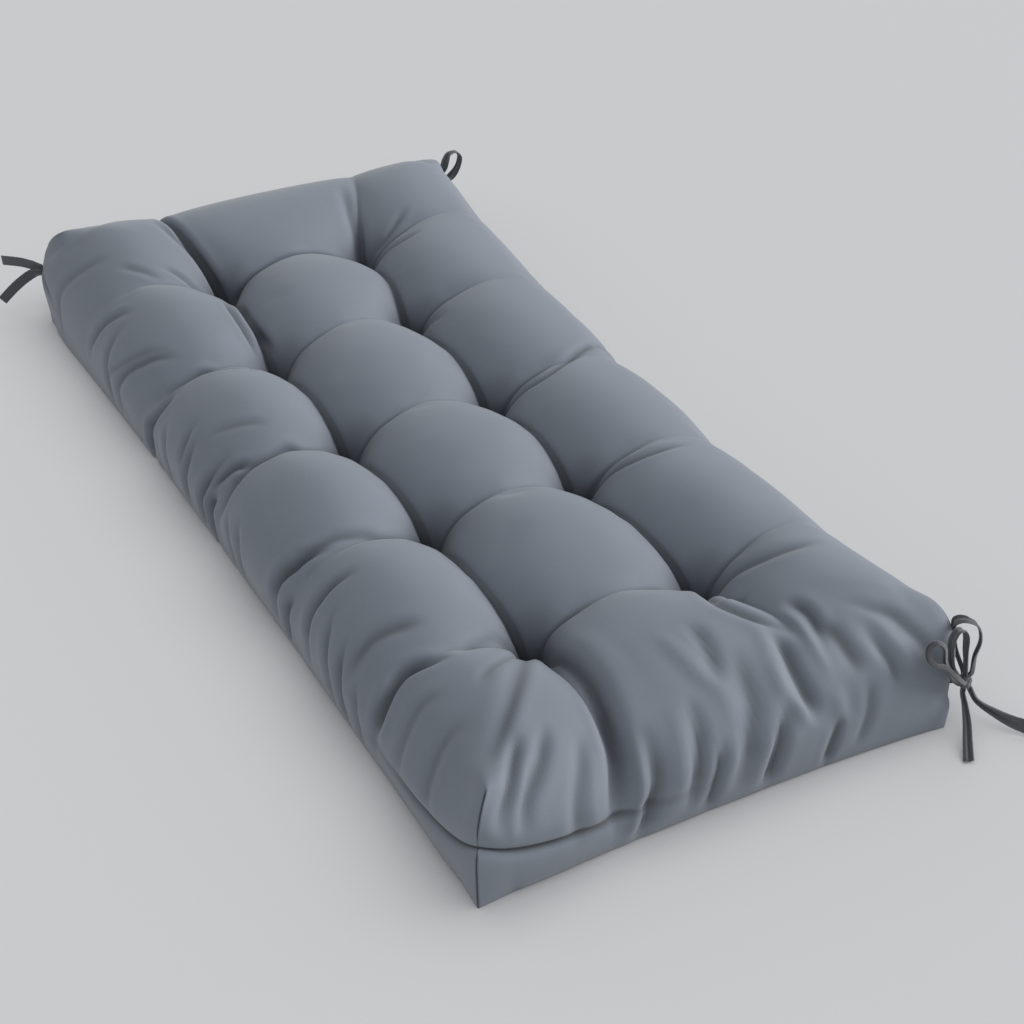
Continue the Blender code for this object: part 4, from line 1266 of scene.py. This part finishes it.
def make_knot(centre, axes):
    """The bow's knot: gathered folds with one turn of the tape drawn tight round them."""
    turns, bands = KNOT_STEPS
    turn, tilt = np.meshgrid(np.arange(turns) / turns * 2 * math.pi,
                             (np.arange(1, bands) / bands - 0.5) * math.pi, indexing="ij")
    level = np.cos(tilt)
    round_it = np.stack([np.cos(turn) * level, np.sin(tilt), np.sin(turn) * level], -1)
    lean = round_it @ unit(BELT["axis"])
    belt = np.exp(-(np.abs(lean) / BELT["width"]) ** 6)
    fold_turn = np.arctan2(round_it @ unit(KNOT_FOLDS["axis"]), round_it[..., 2])
    folds = np.cos(KNOT_FOLDS["count"] * fold_turn) * (1 - belt)
    creases = np.cos(lean * BELT["creases"] + BELT["slant"] * round_it[..., 1]) * belt
    reach = (KNOT_CORE + BELT["rise"] * belt + KNOT_FOLDS["depth"] * folds
             + BELT["depth"] * creases)
    poles = np.array([[0, -KNOT_CORE, 0], [0, KNOT_CORE, 0]])
    points = np.concatenate([(round_it * reach[..., None]).reshape(-1, 3), poles])
    points = points * np.array(KNOT_RADII)
    index = np.arange(turns * (bands - 1)).reshape(turns, bands - 1)
    wrapped = np.vstack([index, index[:1]])
    faces = grid_quads(wrapped).tolist()
    first, last = wrapped[:, 0], wrapped[:, -1]
    faces += [(a, b, index.size) for a, b in zip(first, first[1:])]
    faces += [(b, a, index.size + 1) for a, b in zip(last, last[1:])]
    uvs = np.stack([turn.ravel() * KNOT_TAPE[0], tilt.ravel() * KNOT_TAPE[1]], -1)
    uvs = np.concatenate([uvs, np.zeros((2, 2))])
    add_piece("tie_bow_knot", centre + points @ axes, faces, uvs)


# -------------------------------- floor, light and camera
CAMERA_AT = Vector((1.68028, -0.75674, 1.27137))
CAMERA_AZIMUTH = 62.927
CAMERA_ELEVATION = 35.479
CAMERA_ROLL = -2.063
CAMERA_LENS = 68.41             # on a 36 mm sensor
FLOOR_REACH = 6
FLOOR_DROP = 0.0005             # how far it lies below the cushion
FLOOR_COLOUR = (0.62, 0.62, 0.62)
STUDIO_COLOUR = (0.9, 0.92, 0.95, 1)
STUDIO_LIGHT = 0.60


def make_camera():
    azimuth = math.radians(CAMERA_AZIMUTH)
    elevation = math.radians(CAMERA_ELEVATION)
    back = Vector((math.sin(azimuth) * math.cos(elevation),
                   -math.cos(azimuth) * math.cos(elevation), math.sin(elevation)))
    right = Vector((0, 0, 1)).cross(back).normalized()
    right = Quaternion(back, math.radians(CAMERA_ROLL)) @ right
    data = bpy.data.cameras.new("camera")
    data.sensor_width = 36
    data.lens = CAMERA_LENS
    data.clip_start = 0.01
    camera = add_object("camera", data)
    turned = Matrix((right, back.cross(right), back)).transposed().to_4x4()
    camera.matrix_world = Matrix.Translation(CAMERA_AT) @ turned
    bpy.context.scene.camera = camera


def add_light(name, place, softness, power, lit):
    """Far, even light on some pieces, from a place and softened over an angle in degrees."""
    data = bpy.data.lights.new(name, "SUN")
    data.energy = power
    data.angle = math.radians(softness)
    light = add_object(name, data)
    light.location = place
    light.rotation_euler = (-Vector(place)).to_track_quat("-Z", "Y").to_euler()
    receivers = bpy.data.collections.new(name + "_lights")
    for piece in lit:
        receivers.objects.link(piece)
    light.light_linking.receiver_collection = receivers


def make_studio():
    pieces = [piece for piece in bpy.context.scene.objects if piece.type == "MESH"]
    corners = FLOOR_REACH * np.array([(-1, -1, 0), (1, -1, 0), (1, 1, 0), (-1, 1, 0)])
    floor = add_object("floor", new_mesh("floor", corners, [(0, 1, 2, 3)]))
    floor.location.z = -FLOOR_DROP
    floor.data.materials.append(new_material("floor", FLOOR_COLOUR, 0.9)[0])

    world = bpy.data.worlds.new("studio")
    world.use_nodes = True
    background = world.node_tree.nodes["Background"]
    background.inputs["Color"].default_value = STUDIO_COLOUR
    background.inputs["Strength"].default_value = STUDIO_LIGHT
    bpy.context.scene.world = world
    add_light("key", place=(0.55, 2.2, 1.05), softness=35, power=2.75, lit=pieces)
    add_light("overhead", place=(0.3, 0.6, 2.0), softness=80, power=1.30, lit=[floor])
    bpy.context.scene.view_settings.view_transform = "Standard"


make_camera()
TAPE_MATERIAL = tape_material()
COVER_PIECE = make_cover()
make_ties()
make_studio()
